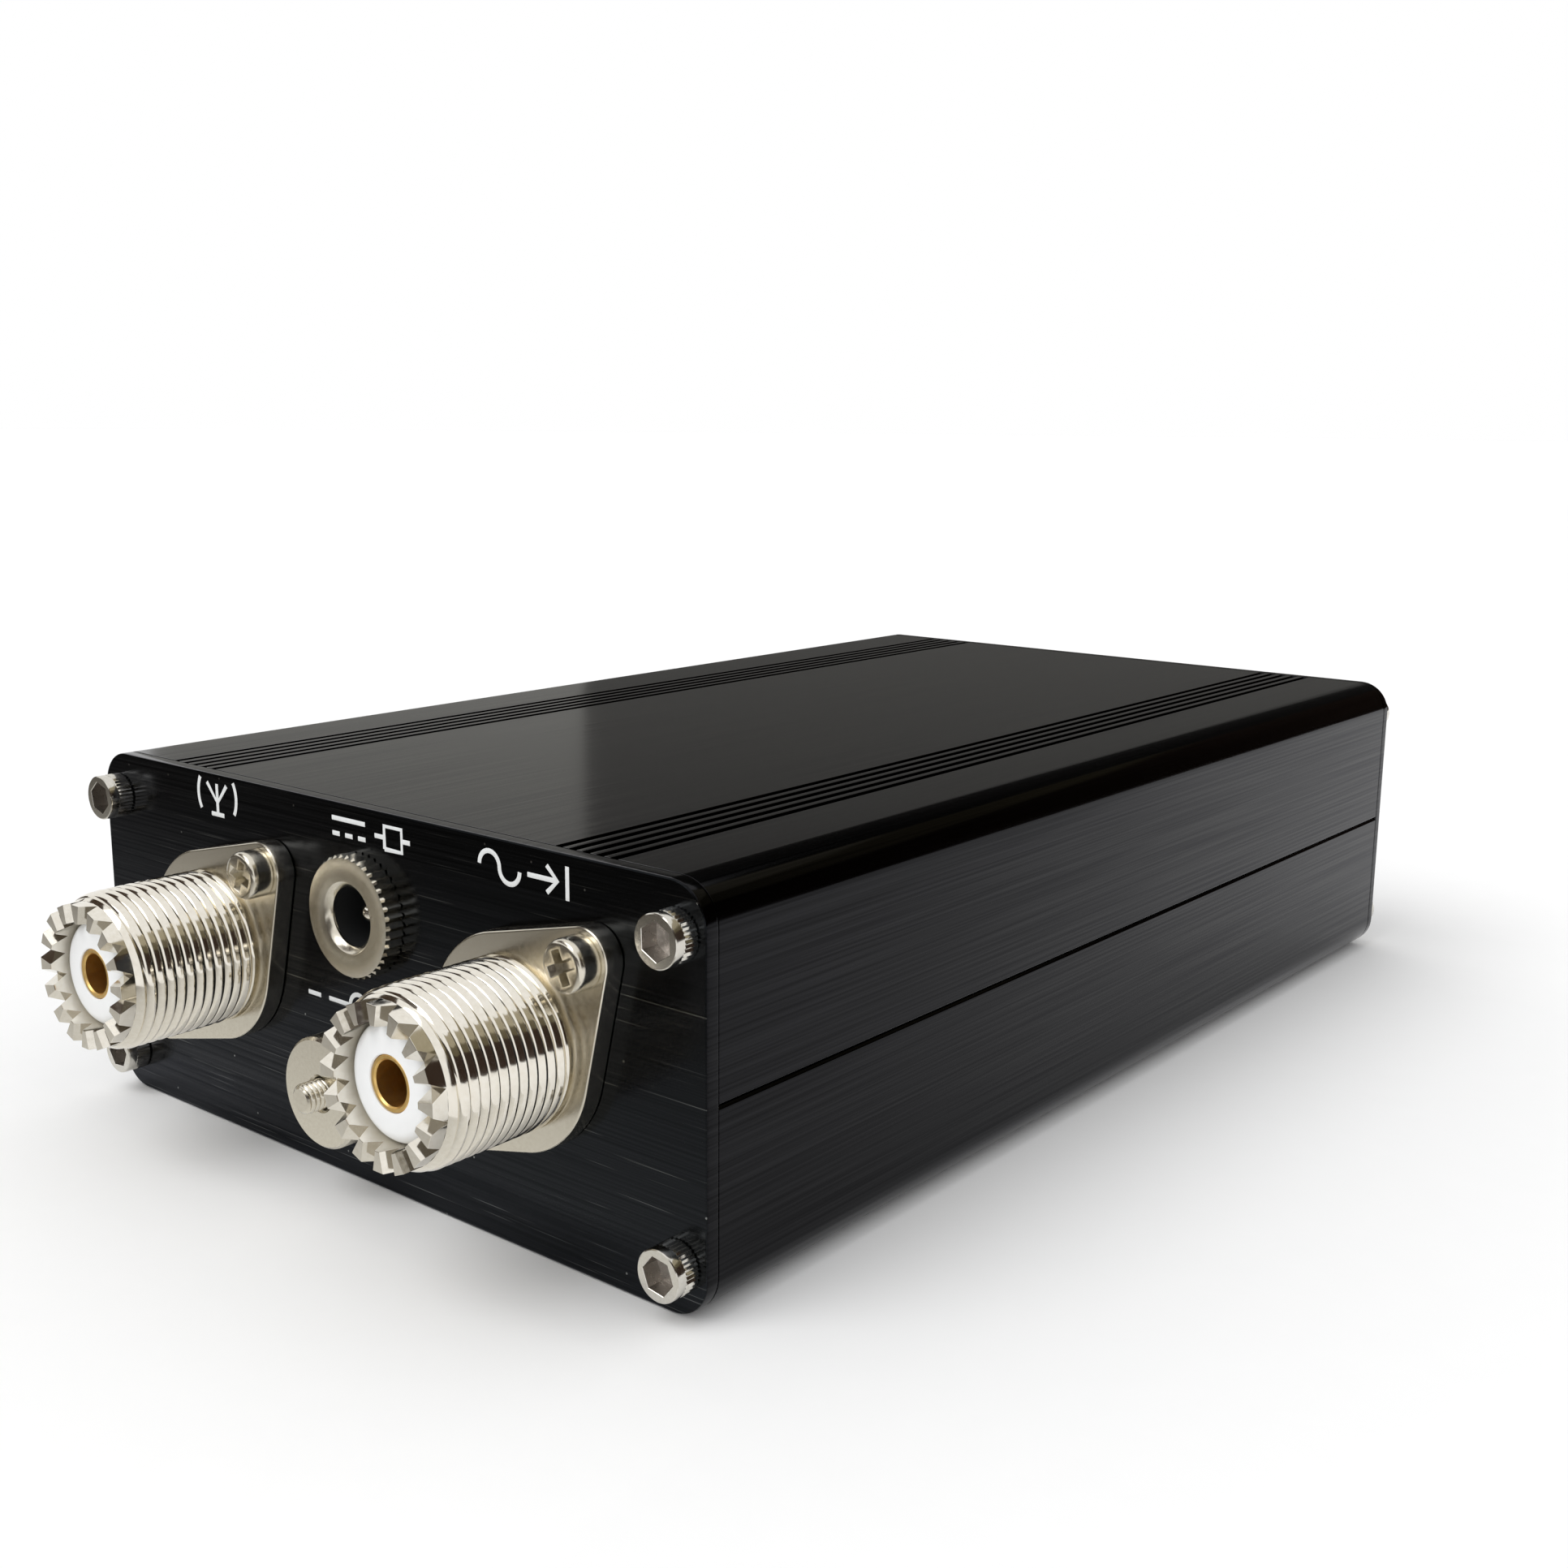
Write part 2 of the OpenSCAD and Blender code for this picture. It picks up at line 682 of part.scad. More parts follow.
// A round wire along a path. Each point has a side direction that is never along the path.
module wire(path, sides_of_path, d) {
    last = len(path) - 1;
    edges = wire_edges;
    points = [
        for (i = [0:last])
            let (t = tangent(path, i), u = unit(cross(t, sides_of_path[i])), v = cross(t, u))
                for (k = [0:edges - 1])
                    path[i] + d / 2 * (cos(360 * k / edges) * u + sin(360 * k / edges) * v)];
    skin = [
        for (i = [0:last - 1], k = [0:edges - 1])
            let (a = i * edges + k, b = i * edges + (k + 1) % edges)
                each [[a, a + edges, b], [b, a + edges, b + edges]]];
    ends = [
        for (k = [1:edges - 2])
            each [[0, k, k + 1], [last * edges, last * edges + k + 1, last * edges + k]]];
    polyhedron(points, concat(skin, ends));
}

// An insulated wire from a to b, straight for run at its start and for one diameter at its end
module lead(a, leave, run, b, arrive) {
    start = a + run * unit(leave);
    finish = b - wire_d * unit(arrive);
    path = concat([a], curve(start, leave, finish, arrive, curve_steps), [b]);
    wire(path, [for (p = path) lead_side], wire_d);
}

// Shells

module half_outline() {
    translate([0, corner_r + (half_h - corner_r) / 2]) square([case_w, half_h - corner_r], center = true);
    translate([0, half_h / 2]) square([case_w - 2 * corner_r, half_h], center = true);
    for (side = [-1, 1]) translate([side * (case_w / 2 - corner_r), corner_r]) circle(corner_r);
}

// Ribs above and below the board's edge; the lower one carries the board
module slot_ribs() {
    for (side = [-1, 1], z = [board_z - slot_rib, board_z + slot_h])
        translate([side * (inner_w / 2 - slot_depth / 2), z + slot_rib / 2])
            square([slot_depth, slot_rib], center = true);
}

// Webs that join the screw channels to the lower ribs
module channel_webs() {
    for (side = [-1, 1])
        translate([side * (inner_w / 2 - slot_depth / 2), (screw_edge_z + board_z) / 2])
            square([slot_depth, board_z - screw_edge_z], center = true);
}

module top_grooves() {
    for (side = [-1, 1], i = [0:groove_count - 1])
        translate([side * (case_w / 2 - groove_edge - i * groove_pitch), 0])
            square([groove_w, 2 * groove_d], center = true);
}

// One half of the case as it lies below the seam: a tongue stands at +X, its recess is at -X
module half_profile() {
    difference() {
        union() {
            difference() {
                half_outline();
                translate([-inner_w / 2, flat_wall]) square([inner_w, half_h]);
            }
            intersection() {
                half_outline();
                for (side = [-1, 1]) translate([side * screw_x, screw_edge_z]) circle(channel_r);
            }
            slot_ribs();
            channel_webs();
            translate([inner_w / 2, half_h - lap_h]) square([tongue_t, 2 * lap_h]);
        }
        translate([-inner_w / 2 - tongue_t - lap_gap, half_h - lap_h - lap_gap])
            square([tongue_t + lap_gap + past, lap_h + lap_gap + past]);
        for (side = [-1, 1]) {
            translate([side * screw_x, screw_edge_z]) {
                circle(d = panel_screw_d + 2 * thread_gap);
                rotate(90 + side * 45) translate([0, -channel_slot / 2])
                    square([2 * channel_r, channel_slot]);
            }
            translate([side * case_w / 2, half_h]) rotate(45) square(seam_bevel * sqrt(2), center = true);
        }
        top_grooves();
    }
}

module half_shell() {
    along_y(-shell_end, shell_end) half_profile();
}

module lower_shell() {
    color(anodised) half_shell();
}

// The same extrusion, turned half a turn about the length of the case
module upper_shell() {
    color(anodised) translate([0, 0, case_h]) rotate([0, 180, 0]) half_shell();
}

// End panels

module panel_outline() {
    translate([0, half_h]) rounded_rect(case_w, case_h, corner_r);
}

module connector_panel() {
    color(anodised) along_y(-panel_face, -shell_end) difference() {
        panel_outline();
        panel_screw_spots() circle(d = panel_screw_d + 2 * hole_gap);
        for (side = [-1, 1]) translate([side * socket_x, socket_z]) {
            circle(d = spigot_d + 2 * hole_gap);
            ear_spots() circle(d = socket_screw_d + 2 * hole_gap);
        }
        translate([jack_x, jack_z]) circle(d = jack_thread_d + 2 * hole_gap);
        translate([0, post_z]) circle(d = stud_d + 2 * hole_gap);
    }
}

module display_panel() {
    color(anodised) along_y(shell_end, panel_face) difference() {
        panel_outline();
        panel_screw_spots() circle(d = panel_screw_d + 2 * hole_gap);
        translate([display_x, display_z]) rounded_rect(window_w, window_h, window_r);
        for (i = [0:len(button_names) - 1])
            translate([-button_start - i * button_pitch, button_z]) circle(d = button_d + 2 * button_gap);
        translate([-power_x, button_z]) circle(d = power_d + 2 * button_gap);
    }
}

module connector_panel_screws() {
    color(nickel) translate([0, -panel_face, 0]) rotate([90, 0, 0]) panel_screw_spots() cap_screw();
}

module display_panel_screws() {
    color(nickel) translate([0, panel_face, 0]) rotate([90, 0, 180]) panel_screw_spots() cap_screw();
}

// Sockets

// A disc with two ears on a slant, its straight edges tangent to both
module flange_outline() {
    circle(flange_r);
    for (side = [0, 180]) rotate(ear_angle + side) {
        translate([ear_reach, 0]) circle(ear_r);
        polygon([
            for (turn = [-ear_tangent, ear_tangent]) flange_r * [cos(turn), sin(turn)],
            for (turn = [ear_tangent, -ear_tangent])
                [ear_reach, 0] + ear_r * [cos(turn), sin(turn)]]);
    }
}

// Threaded barrel, bevelled band and the rim that the teeth are cut in
module socket_barrel() {
    bore_r = insulator_r + thread_gap;
    rotate_extrude() polygon([
        [bore_r, -spigot_l], [spigot_d / 2, -spigot_l], [spigot_d / 2, 0], [thread_r, 0],
        [thread_r, thread_end], [rim_r, rim_foot], [rim_r, rim_tip], [bore_r, rim_tip]]);
}

// V cuts between the teeth, drawn on past the tips
module rim_notches() {
    open_w = notch_w * (notch_d + past) / notch_d;
    for (i = [0:rim_teeth - 1]) rotate(360 * (i + 0.5) / rim_teeth) translate([0, 0, rim_tip])
        rotate([90, 0, 90]) linear_extrude(rim_r + past)
            polygon([[-open_w / 2, past], [0, -notch_d], [open_w / 2, past]]);
}

module socket_body() {
    difference() {
        union() {
            linear_extrude(flange_t) difference() {
                flange_outline();
                circle(spigot_d / 2);
                ear_spots() circle(d = socket_screw_d + 2 * hole_gap);
            }
            socket_barrel();
        }
        rim_notches();
    }
}

// A tube with a round front edge; the contact's shoulder sits in it
module socket_insulator() {
    flat_front = insulator_front - insulator_round;
    contact_r = contact_d / 2 + thread_gap;
    difference() {
        rotate_extrude() {
            translate([0, -insulator_back]) square([insulator_r, insulator_back + flat_front]);
            square([insulator_r - insulator_round, insulator_front]);
            translate([insulator_r - insulator_round, flat_front]) circle(insulator_round);
        }
        translate([0, 0, contact_back]) cylinder(r = contact_r, h = insulator_front);
        translate([0, 0, -insulator_back - past])
            cylinder(d = tail_d + 2 * thread_gap, h = insulator_back + contact_back + 2 * past);
    }
}

// A sleeve for the plug's pin, with a half-open solder cup at its back end
module socket_contact() {
    tail_back = insulator_back + tail_l;
    difference() {
        union() {
            translate([0, 0, contact_back]) cylinder(d = contact_d, h = contact_front - contact_back);
            translate([0, 0, -tail_back]) cylinder(d = tail_d, h = tail_back + contact_back);
        }
        translate([0, 0, contact_front - contact_bore_l])
            cylinder(d = contact_bore, h = contact_bore_l + past);
        translate([0, 0, -tail_back - past]) cylinder(d = cup_bore, h = cup_l + past);
        translate([-tail_d, 0, -tail_back - past]) cube([2 * tail_d, tail_d, cup_l + past]);
    }
}

module antenna_socket_body() {
    color(nickel) on_connector_panel(-socket_x, socket_z) socket_body();
}

module antenna_socket_insulator() {
    color(teflon) on_connector_panel(-socket_x, socket_z) socket_insulator();
}

module antenna_socket_contact() {
    color(gold) on_connector_panel(-socket_x, socket_z) socket_contact();
}

module input_socket_body() {
    color(nickel) on_connector_panel(socket_x, socket_z) socket_body();
}

module input_socket_insulator() {
    color(teflon) on_connector_panel(socket_x, socket_z) socket_insulator();
}

module input_socket_contact() {
    color(gold) on_connector_panel(socket_x, socket_z) socket_contact();
}

module socket_screws() {
    length = flange_t + panel_t + socket_nut_t;
    color(nickel) both_sockets() ear_spots() translate([0, 0, flange_t])
        pan_screw(socket_screw_d, length, pan_head_d, pan_head_h);
}

module socket_nuts() {
    color(nickel) both_sockets() ear_spots() translate([0, 0, -panel_t - socket_nut_t])
        hex_nut(socket_nut_af, socket_nut_t, socket_screw_d + 2 * thread_gap);
}

// Power jack

module jack_ring_nut() {
    r = ring_d / 2;
    sink_foot = ring_t - (ring_sink - ring_hole) / 2;
    color(nickel) on_connector_panel(jack_x, jack_z) difference() {
        rotate_extrude() polygon([
            [0, 0], [r, 0], [r, ring_t - ring_bevel], [r - ring_bevel, ring_t],
            [ring_sink / 2, ring_t], [ring_hole / 2, sink_foot], [0, sink_foot]]);
        translate([0, 0, -past]) cylinder(d = ring_hole, h = ring_t + 2 * past);
        translate([0, 0, -past]) cylinder(d = jack_thread_d + 2 * thread_gap, h = ring_t - ring_lip + past);
    }
}

module jack_body() {
    color(black_plastic) on_connector_panel(jack_x, jack_z) difference() {
        union() {
            translate([0, 0, -panel_t]) cylinder(d = jack_thread_d, h = panel_t + neck_front);
            translate([0, 0, -collar_back]) cylinder(d = collar_d, h = collar_t);
            translate([0, 0, -jack_back]) cylinder(d = jack_body_d, h = jack_body_l);
        }
        translate([0, 0, -jack_bore_l]) cylinder(d = jack_bore, h = jack_bore_l + ring_t);
        translate([0, 0, -jack_back - past]) cylinder(d = jack_pin_d + 2 * thread_gap, h = jack_back);
    }
}

// Round pin in front, flat solder tab behind
module jack_pin() {
    tip = jack_pin_d / 2;
    color(steel) on_connector_panel(jack_x, jack_z) {
        translate([0, 0, -jack_back]) cylinder(d = jack_pin_d, h = jack_back - tip);
        intersection() {
            translate([0, 0, -tip]) sphere(tip);
            translate([0, 0, -tip]) cylinder(d = jack_pin_d, h = jack_pin_d);
        }
        translate([-tab_w / 2, -tab_t / 2, -jack_back - tab_l]) cube([tab_w, tab_t, tab_l]);
    }
}

module jack_sleeve_tab() {
    color(steel) on_connector_panel(jack_x, sleeve_tab_z)
        translate([-tab_w / 2, -tab_t / 2, -jack_back - tab_l]) cube([tab_w, tab_t, tab_l]);
}

// Ground post

// A screw put through from inside, its free end standing out of the panel
module ground_stud() {
    color(nickel) on_connector_panel(0, post_z) mirror([0, 0, 1]) translate([0, 0, stud_head_back])
        pan_screw(stud_d, stud_head_back + stud_out, stud_head_d, stud_head_h);
}

module ground_hex_nut() {
    color(nickel) on_connector_panel(0, post_z) hex_nut(post_nut_af, post_nut_t, stud_d + 2 * thread_gap);
}

module ground_washer() {
    color(nickel) on_connector_panel(0, post_z) translate([0, 0, washer_back]) difference() {
        cylinder(d = washer_d, h = washer_t);
        translate([0, 0, -past]) cylinder(d = stud_d + 2 * stem_gap, h = washer_t + 2 * past);
    }
}

module ground_thumb_nut() {
    r = thumb_d / 2;
    color(nickel) on_connector_panel(0, post_z) translate([0, 0, thumb_back]) difference() {
        rotate_extrude() polygon([
            [0, 0], [r - thumb_bevel, 0], [r, thumb_bevel], [r, thumb_t - thumb_bevel],
            [r - thumb_bevel, thumb_t], [0, thumb_t]]);
        translate([0, 0, -past]) cylinder(d = stud_d + 2 * stem_gap, h = thumb_t + 2 * past);
    }
}

// A ring terminal under the stud's head, its tail bent into the case
module ground_lug() {
    tail_l = lug_reach - lug_t;
    color(nickel) {
        along_y(-shell_end, -shell_end + lug_t) difference() {
            union() {
                translate([0, post_z]) circle(lug_r);
                translate([-lug_tail_w / 2, post_z]) square([lug_tail_w, lug_rise]);
            }
            translate([0, post_z]) circle(d = stud_d + 2 * hole_gap);
        }
        translate([-lug_tail_w / 2, -shell_end + lug_t, lug_top - lug_t]) cube([lug_tail_w, tail_l, lug_t]);
    }
}

// Board and what is soldered to it

module main_board() {
    color(board_green) translate([-board_w / 2, board_y0, board_z])
        cube([board_w, board_y1 - board_y0, board_t]);
}

// A sealed relay with a polarity groove across its top
module relay() {
    difference() {
        rounded_block(relay_l, relay_w, relay_h, relay_round);
        translate([-relay_l / 2 + relay_mark_edge, 0, relay_h])
            cube([relay_mark_w, relay_mark_l, relay_mark_w], center = true);
    }
}

module relay_bank(x) {
    for (i = [0:bank_relays - 1])
        translate([x, bank_y0 + relay_w / 2 + i * relay_pitch, board_top]) relay();
}

module inductor_relays() {
    color(black_plastic) relay_bank(-bank_x);
}

module capacitor_relays() {
    color(black_plastic) relay_bank(bank_x);
}

module bypass_relay() {
    color(black_plastic) translate([-bypass_x, board_y0 + bypass_start + relay_w / 2, board_top]) relay();
}

// Toroids stand on edge in a row in front of the air coils
module toroid_spots() {
    for (i = [0:toroid_count - 1])
        translate([coil_x, column_y0 + (air_count + i) * column_pitch, board_top + toroid_od / 2])
            rotate([90, 0, 0]) children();
}

module toroid_cores() {
    ring_w = (toroid_od - toroid_id) / 2;
    color(red_core) toroid_spots() rotate_extrude()
        translate([(toroid_od + toroid_id) / 4, 0]) rounded_rect(ring_w, toroid_t, toroid_round);
}

// Points of one turn lie on a rounded rectangle about the core's section
function squarish(v) = sign(v) * sqrt(abs(v));
function winding_point(i) = let (
        section = 360 * (i + 0.5) / turn_steps,
        around = -90 + (360 - toroid_arc) / 2 + toroid_arc * i / (toroid_turns * turn_steps),
        reach = toroid_wire / 2 + winding_gap,
        r = (toroid_od + toroid_id) / 4
            + ((toroid_od - toroid_id) / 4 + reach) * squarish(cos(section)),
        z = (toroid_t / 2 + reach) * squarish(sin(section)))
    [r * cos(around), r * sin(around), z];
function winding_side(i) = let (
        around = -90 + (360 - toroid_arc) / 2 + toroid_arc * i / (toroid_turns * turn_steps))
    [-sin(around), cos(around), 0];

module toroid_windings() {
    steps = [0:toroid_turns * turn_steps];
    color(copper) toroid_spots()
        wire([for (i = steps) winding_point(i)], [for (i = steps) winding_side(i)], toroid_wire);
}

// A coil along X: up one leg, round the turns, down the other leg
module air_coil() {
    last = (air_turns + 0.5) * turn_steps;
    rise = air_d / 2 + air_wire / 2 + air_lift;
    half_l = (air_turns + 0.5) * air_pitch / 2;
    r = air_d / 2;
    path = [
        [-half_l, -r, 0],
        for (i = [0:last]) let (turn = 180 - 360 * i / turn_steps)
            [-half_l + air_pitch * i / turn_steps, r * cos(turn), rise + r * sin(turn)],
        [half_l, r, 0]];
    wire(path, [for (p = path) [1, 0, 0]], air_wire);
}

module air_coils() {
    color(copper) for (i = [0:air_count - 1])
        translate([coil_x, column_y0 + i * column_pitch, board_top]) air_coil();
}

// A ferrite block with two holes, flat on the board beside the input socket's wire
module sensor_core() {
    color(ferrite) translate([sensor_x, 0, board_top + sensor_h / 2])
        along_y(board_y0 + sensor_start, board_y0 + sensor_start + sensor_t) difference() {
            rounded_rect(sensor_l, sensor_h, sensor_round);
            for (side = [-1, 1]) translate([side * sensor_pitch / 2, 0]) circle(d = sensor_hole);
        }
}

// One for each relay, standing level with the gaps between the coils
module tuning_capacitors() {
    color(gold) for (i = [0:bank_relays - 1])
        translate([tuning_x, column_y0 + (i + 0.5) * column_pitch, board_top])
            rounded_block(cap_w, cap_t, cap_h, cap_round);
}

module controller_chip() {
    color(black_plastic) translate([chip_x, board_y1 - chip_back, board_top]) {
        translate([-chip_l / 2, -chip_w / 2, leg_t]) cube([chip_l, chip_w, chip_h - leg_t]);
        for (side = [0, 180], i = [0:chip_legs - 1]) rotate(side)
            translate([(i - (chip_legs - 1) / 2) * chip_pitch - leg_w / 2, chip_w / 2, 0]) {
                cube([leg_w, leg_reach, leg_t]);
                cube([leg_w, leg_t, chip_h / 2]);
            }
    }
}

// Electrolytic cans with a bead rolled in near the foot
module filter_capacitors() {
    color(black_plastic) for (i = [0, 1])
        translate([can_x, board_y1 - can_back - i * can_pitch, board_top]) difference() {
            cylinder(d = can_d, h = can_h);
            translate([0, 0, bead_z]) rotate_extrude() translate([can_d / 2, 0]) circle(bead_r);
        }
}

// A three-legged regulator that stands up, its tab to the rear
module voltage_regulator() {
    legs = 3;
    color(steel) translate([reg_x, board_y1 - reg_back, board_top]) {
        translate([-reg_w / 2, 0, reg_lift]) cube([reg_w, reg_t, reg_h]);
        along_y(0, reg_tab_t) difference() {
            translate([-reg_w / 2, reg_lift + reg_h]) square([reg_w, reg_tab_h]);
            translate([0, reg_lift + reg_h + reg_tab_h / 2]) circle(d = reg_hole);
        }
        for (i = [0:legs - 1])
            translate([(i - (legs - 1) / 2) * reg_leg_pitch - leg_w / 2, reg_t / 2, 0])
                cube([leg_w, leg_w, reg_lift]);
    }
}

// Display, behind the opening in its panel

module display_pillar_spots() {
    for (x = [-1, 1], z = [-1, 1])
        translate([display_x + x * spacer_pitch / 2, display_z + z * pillar_rise]) children();
}

module display_pane() {
    color("#7f8c94") translate([display_x, 0, display_z]) along_y(pane_y, shell_end)
        rounded_rect(window_w + 2 * pane_lap, window_h + 2 * pane_lap, window_r);
}

module display_glass() {
    color("#10151c") translate([display_x, 0, display_z]) along_y(glass_y, pane_y)
        square([glass_w, glass_h], center = true);
}

module display_module() {
    color("#1d3f73") along_y(module_y, glass_y) difference() {
        translate([display_x, display_z]) square([module_w, module_h], center = true);
        display_pillar_spots() circle(d = display_screw_d + 2 * hole_gap);
    }
}

module display_pillars() {
    color(nickel) along_y(glass_y, shell_end) display_pillar_spots() difference() {
        circle(d = spacer_d);
        circle(d = display_screw_d + 2 * thread_gap);
    }
}

module display_screws() {
    length = module_t + pillar_l - display_screw_end;
    color(nickel) translate([0, module_y, 0]) rotate([90, 0, 0]) display_pillar_spots()
        pan_screw(display_screw_d, length, display_head_d, display_head_h);
}

// A flat ribbon that leaves the display's board level and bends down to the main board
module display_ribbon() {
    socket_top = board_top + ribbon_socket_h;
    straight = [ribbon_t, ribbon_z - ribbon_r + ribbon_t / 2 - socket_top];
    color("#8d8f92") translate([display_x + ribbon_w / 2, 0, 0]) rotate([90, 0, -90])
        linear_extrude(ribbon_w) {
            translate([-module_y, ribbon_z]) square([ribbon_run, ribbon_t]);
            translate([-ribbon_y, ribbon_z - ribbon_r + ribbon_t / 2]) intersection() {
                difference() {
                    circle(ribbon_r + ribbon_t / 2);
                    circle(ribbon_r - ribbon_t / 2);
                }
                square(2 * ribbon_r);
            }
            translate([-ribbon_y + ribbon_r - ribbon_t / 2, socket_top]) square(straight);
        }
}

module ribbon_socket() {
    color(teflon) translate([display_x, ribbon_y - ribbon_r, board_top + ribbon_socket_h / 2])
        cube([ribbon_w, ribbon_socket_l, ribbon_socket_h], center = true);
}

// Buttons and switches

module switch_block(x, w, l, h, hole_d, hole_l) {
    translate([x, 0, 0]) difference() {
        translate([-w / 2, board_y1 - l, board_top]) cube([w, l, h]);
        translate([0, board_y1 - hole_l, button_z]) rotate([-90, 0, 0])
            cylinder(d = hole_d, h = hole_l + past);
    }
}

module button_switches() {
    color(black_plastic) for (i = [0:len(button_names) - 1])
        switch_block(-button_start - i * button_pitch, switch_w, switch_l, switch_h,
            stem_d + 2 * stem_gap, stem_in + button_travel + stem_end_gap);
}

// A round cap with a soft front edge on a thinner stem, along +Y
module push_button(x, cap_d, back, out, stem, stem_l) {
    front = panel_face + out - back;
    r = cap_d / 2;
    translate([x, back, button_z]) rotate([-90, 0, 0]) {
        rotate_extrude() {
            square([r, front - button_round]);
            square([r - button_round, front]);
            translate([r - button_round, front - button_round]) circle(button_round);
        }
        translate([0, 0, -stem_l]) cylinder(d = stem, h = stem_l + past);
    }
}

module small_button(i) {
    color(black_plastic) push_button(-button_start - i * button_pitch, button_d, cap_back, button_out,
        stem_d, cap_back - board_y1 + stem_in);
}

module tune_button() {
    small_button(0);
}

module auto_button() {
    small_button(1);
}

module bypass_button() {
    small_button(2);
}

module power_switch() {
    color(black_plastic) switch_block(-power_x, power_switch_w, power_switch_l, power_switch_h,
        power_stem_d + 2 * stem_gap, power_stem_in + power_travel + stem_end_gap);
}

module power_button() {
    color(black_plastic) push_button(-power_x, power_d, power_back, power_out,
        power_stem_d, power_back - board_y1 + power_stem_in);
}

// Wires

// From a socket's solder cup down to the board
module socket_wire(x) {
    lead([x, wire_start_y, socket_z], [0, wire_bend, 0], cup_l,
        [x, pad_y, board_top], [0, 0, -wire_bend]);
}

module antenna_wire() {
    color(teflon) socket_wire(-socket_x);
}

module input_wire() {
    color(teflon) socket_wire(socket_x);
}

// From one of the jack's tabs, over the bypass relay and down to the board
module jack_wire(tab_z, to_y) {
    lead([jack_x, jack_tab_y, tab_z], [0, wire_bend, 0], wire_d,
        [tuning_x, to_y, board_top], [0, 0, -2 * wire_bend]);
}

module supply_wire() {
    color("#b02a22") jack_wire(jack_z, column_y0 - column_pitch / 2);
}

module return_wire() {
    color(black_plastic) jack_wire(sleeve_tab_z, column_y0 - column_pitch);
}

module ground_wire() {
    color("#2c7a3f") lead([0, lug_end_y, lug_top - lug_t / 2], [0, wire_bend / 2, 0], wire_d,
        [0, board_y0 + wire_d, board_top], [0, 0, -wire_bend / 2]);
}

lower_shell();
upper_shell();
connector_panel();
display_panel();
connector_panel_screws();
display_panel_screws();
antenna_socket_body();
antenna_socket_insulator();
antenna_socket_contact();
input_socket_body();
input_socket_insulator();
input_socket_contact();
socket_screws();
socket_nuts();
jack_ring_nut();
jack_body();
jack_pin();
jack_sleeve_tab();
ground_stud();
ground_hex_nut();
ground_washer();
ground_thumb_nut();
ground_lug();
main_board();
inductor_relays();
capacitor_relays();
bypass_relay();
toroid_cores();
toroid_windings();
air_coils();
sensor_core();
tuning_capacitors();
controller_chip();
filter_capacitors();
voltage_regulator();
display_pane();
display_glass();
display_module();
display_pillars();
display_screws();
display_ribbon();
ribbon_socket();
button_switches();
tune_button();
auto_button();
bypass_button();
power_switch();
power_button();
antenna_wire();
input_wire();
supply_wire();
return_wire();
ground_wire();
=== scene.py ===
# %% [markdown]
# # An automatic antenna tuner, dressed around its CAD frame
# The real object is a small radio accessory: a black anodised aluminium case made of two
# extruded half shells, closed by two end panels. One panel carries two threaded coaxial
# sockets, a power jack and a ground post; the other carries a display and push buttons.
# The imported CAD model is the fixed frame. It is loaded first, and every piece made below
# rides on one of its bodies, so that the buttons and the thumb nut still move.

# %% Load the frame and keep the CAD model's box
import math

import bmesh
import bpy
from mathutils import Matrix, Vector


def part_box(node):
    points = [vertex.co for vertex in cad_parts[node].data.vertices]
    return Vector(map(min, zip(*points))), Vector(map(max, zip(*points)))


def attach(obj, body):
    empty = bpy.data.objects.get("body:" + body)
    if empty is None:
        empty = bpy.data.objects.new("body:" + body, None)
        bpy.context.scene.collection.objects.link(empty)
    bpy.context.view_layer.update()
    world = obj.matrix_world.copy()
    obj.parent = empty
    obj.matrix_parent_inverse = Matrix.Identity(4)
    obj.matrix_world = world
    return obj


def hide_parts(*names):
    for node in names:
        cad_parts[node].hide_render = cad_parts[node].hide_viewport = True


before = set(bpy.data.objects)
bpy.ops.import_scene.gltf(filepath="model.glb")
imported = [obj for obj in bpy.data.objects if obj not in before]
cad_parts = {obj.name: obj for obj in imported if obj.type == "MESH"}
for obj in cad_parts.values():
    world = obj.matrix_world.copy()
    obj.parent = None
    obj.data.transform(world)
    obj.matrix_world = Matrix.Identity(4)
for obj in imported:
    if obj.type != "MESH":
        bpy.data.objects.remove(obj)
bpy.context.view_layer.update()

# %% [markdown]
# ## Small tools
# Blender's unit here is the metre, but the parts are easier to read in millimetres. So each
# mesh is modelled in millimetres and scaled once, when it is finished. A piece's place goes
# into its mesh and its object stays at the origin, because the patterns of the materials
# are laid out in object coordinates, and those are then the coordinates of the frame.

# %% Finishing a mesh as a piece
MM = 0.001
SMOOTH_BELOW = math.radians(28)
FLAT_FACE_WEIGHT = 100


def finished(bm, name, finish, body, slot, *nodes):
    """The mesh becomes a piece that rides on a body and stands for some CAD nodes."""
    bmesh.ops.scale(bm, vec=(MM, MM, MM), verts=bm.verts)
    mesh = bpy.data.meshes.new(name)
    bm.to_mesh(mesh)
    bm.free()
    mesh.polygons.foreach_set("use_smooth", [True] * len(mesh.polygons))
    mesh.set_sharp_from_angle(angle=SMOOTH_BELOW)
    mesh.materials.append(finish)
    piece = bpy.data.objects.new(name, mesh)
    bpy.context.scene.collection.objects.link(piece)
    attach(piece, body)
    if nodes:
        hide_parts(*nodes)
    # a broad flat face keeps its own normal, and the narrow bevels beside it take the bend
    flat = piece.modifiers.new("flat_faces", "WEIGHTED_NORMAL")
    flat.keep_sharp = True
    flat.weight = FLAT_FACE_WEIGHT
    print(name, "has", len(mesh.polygons), "faces")
    return piece


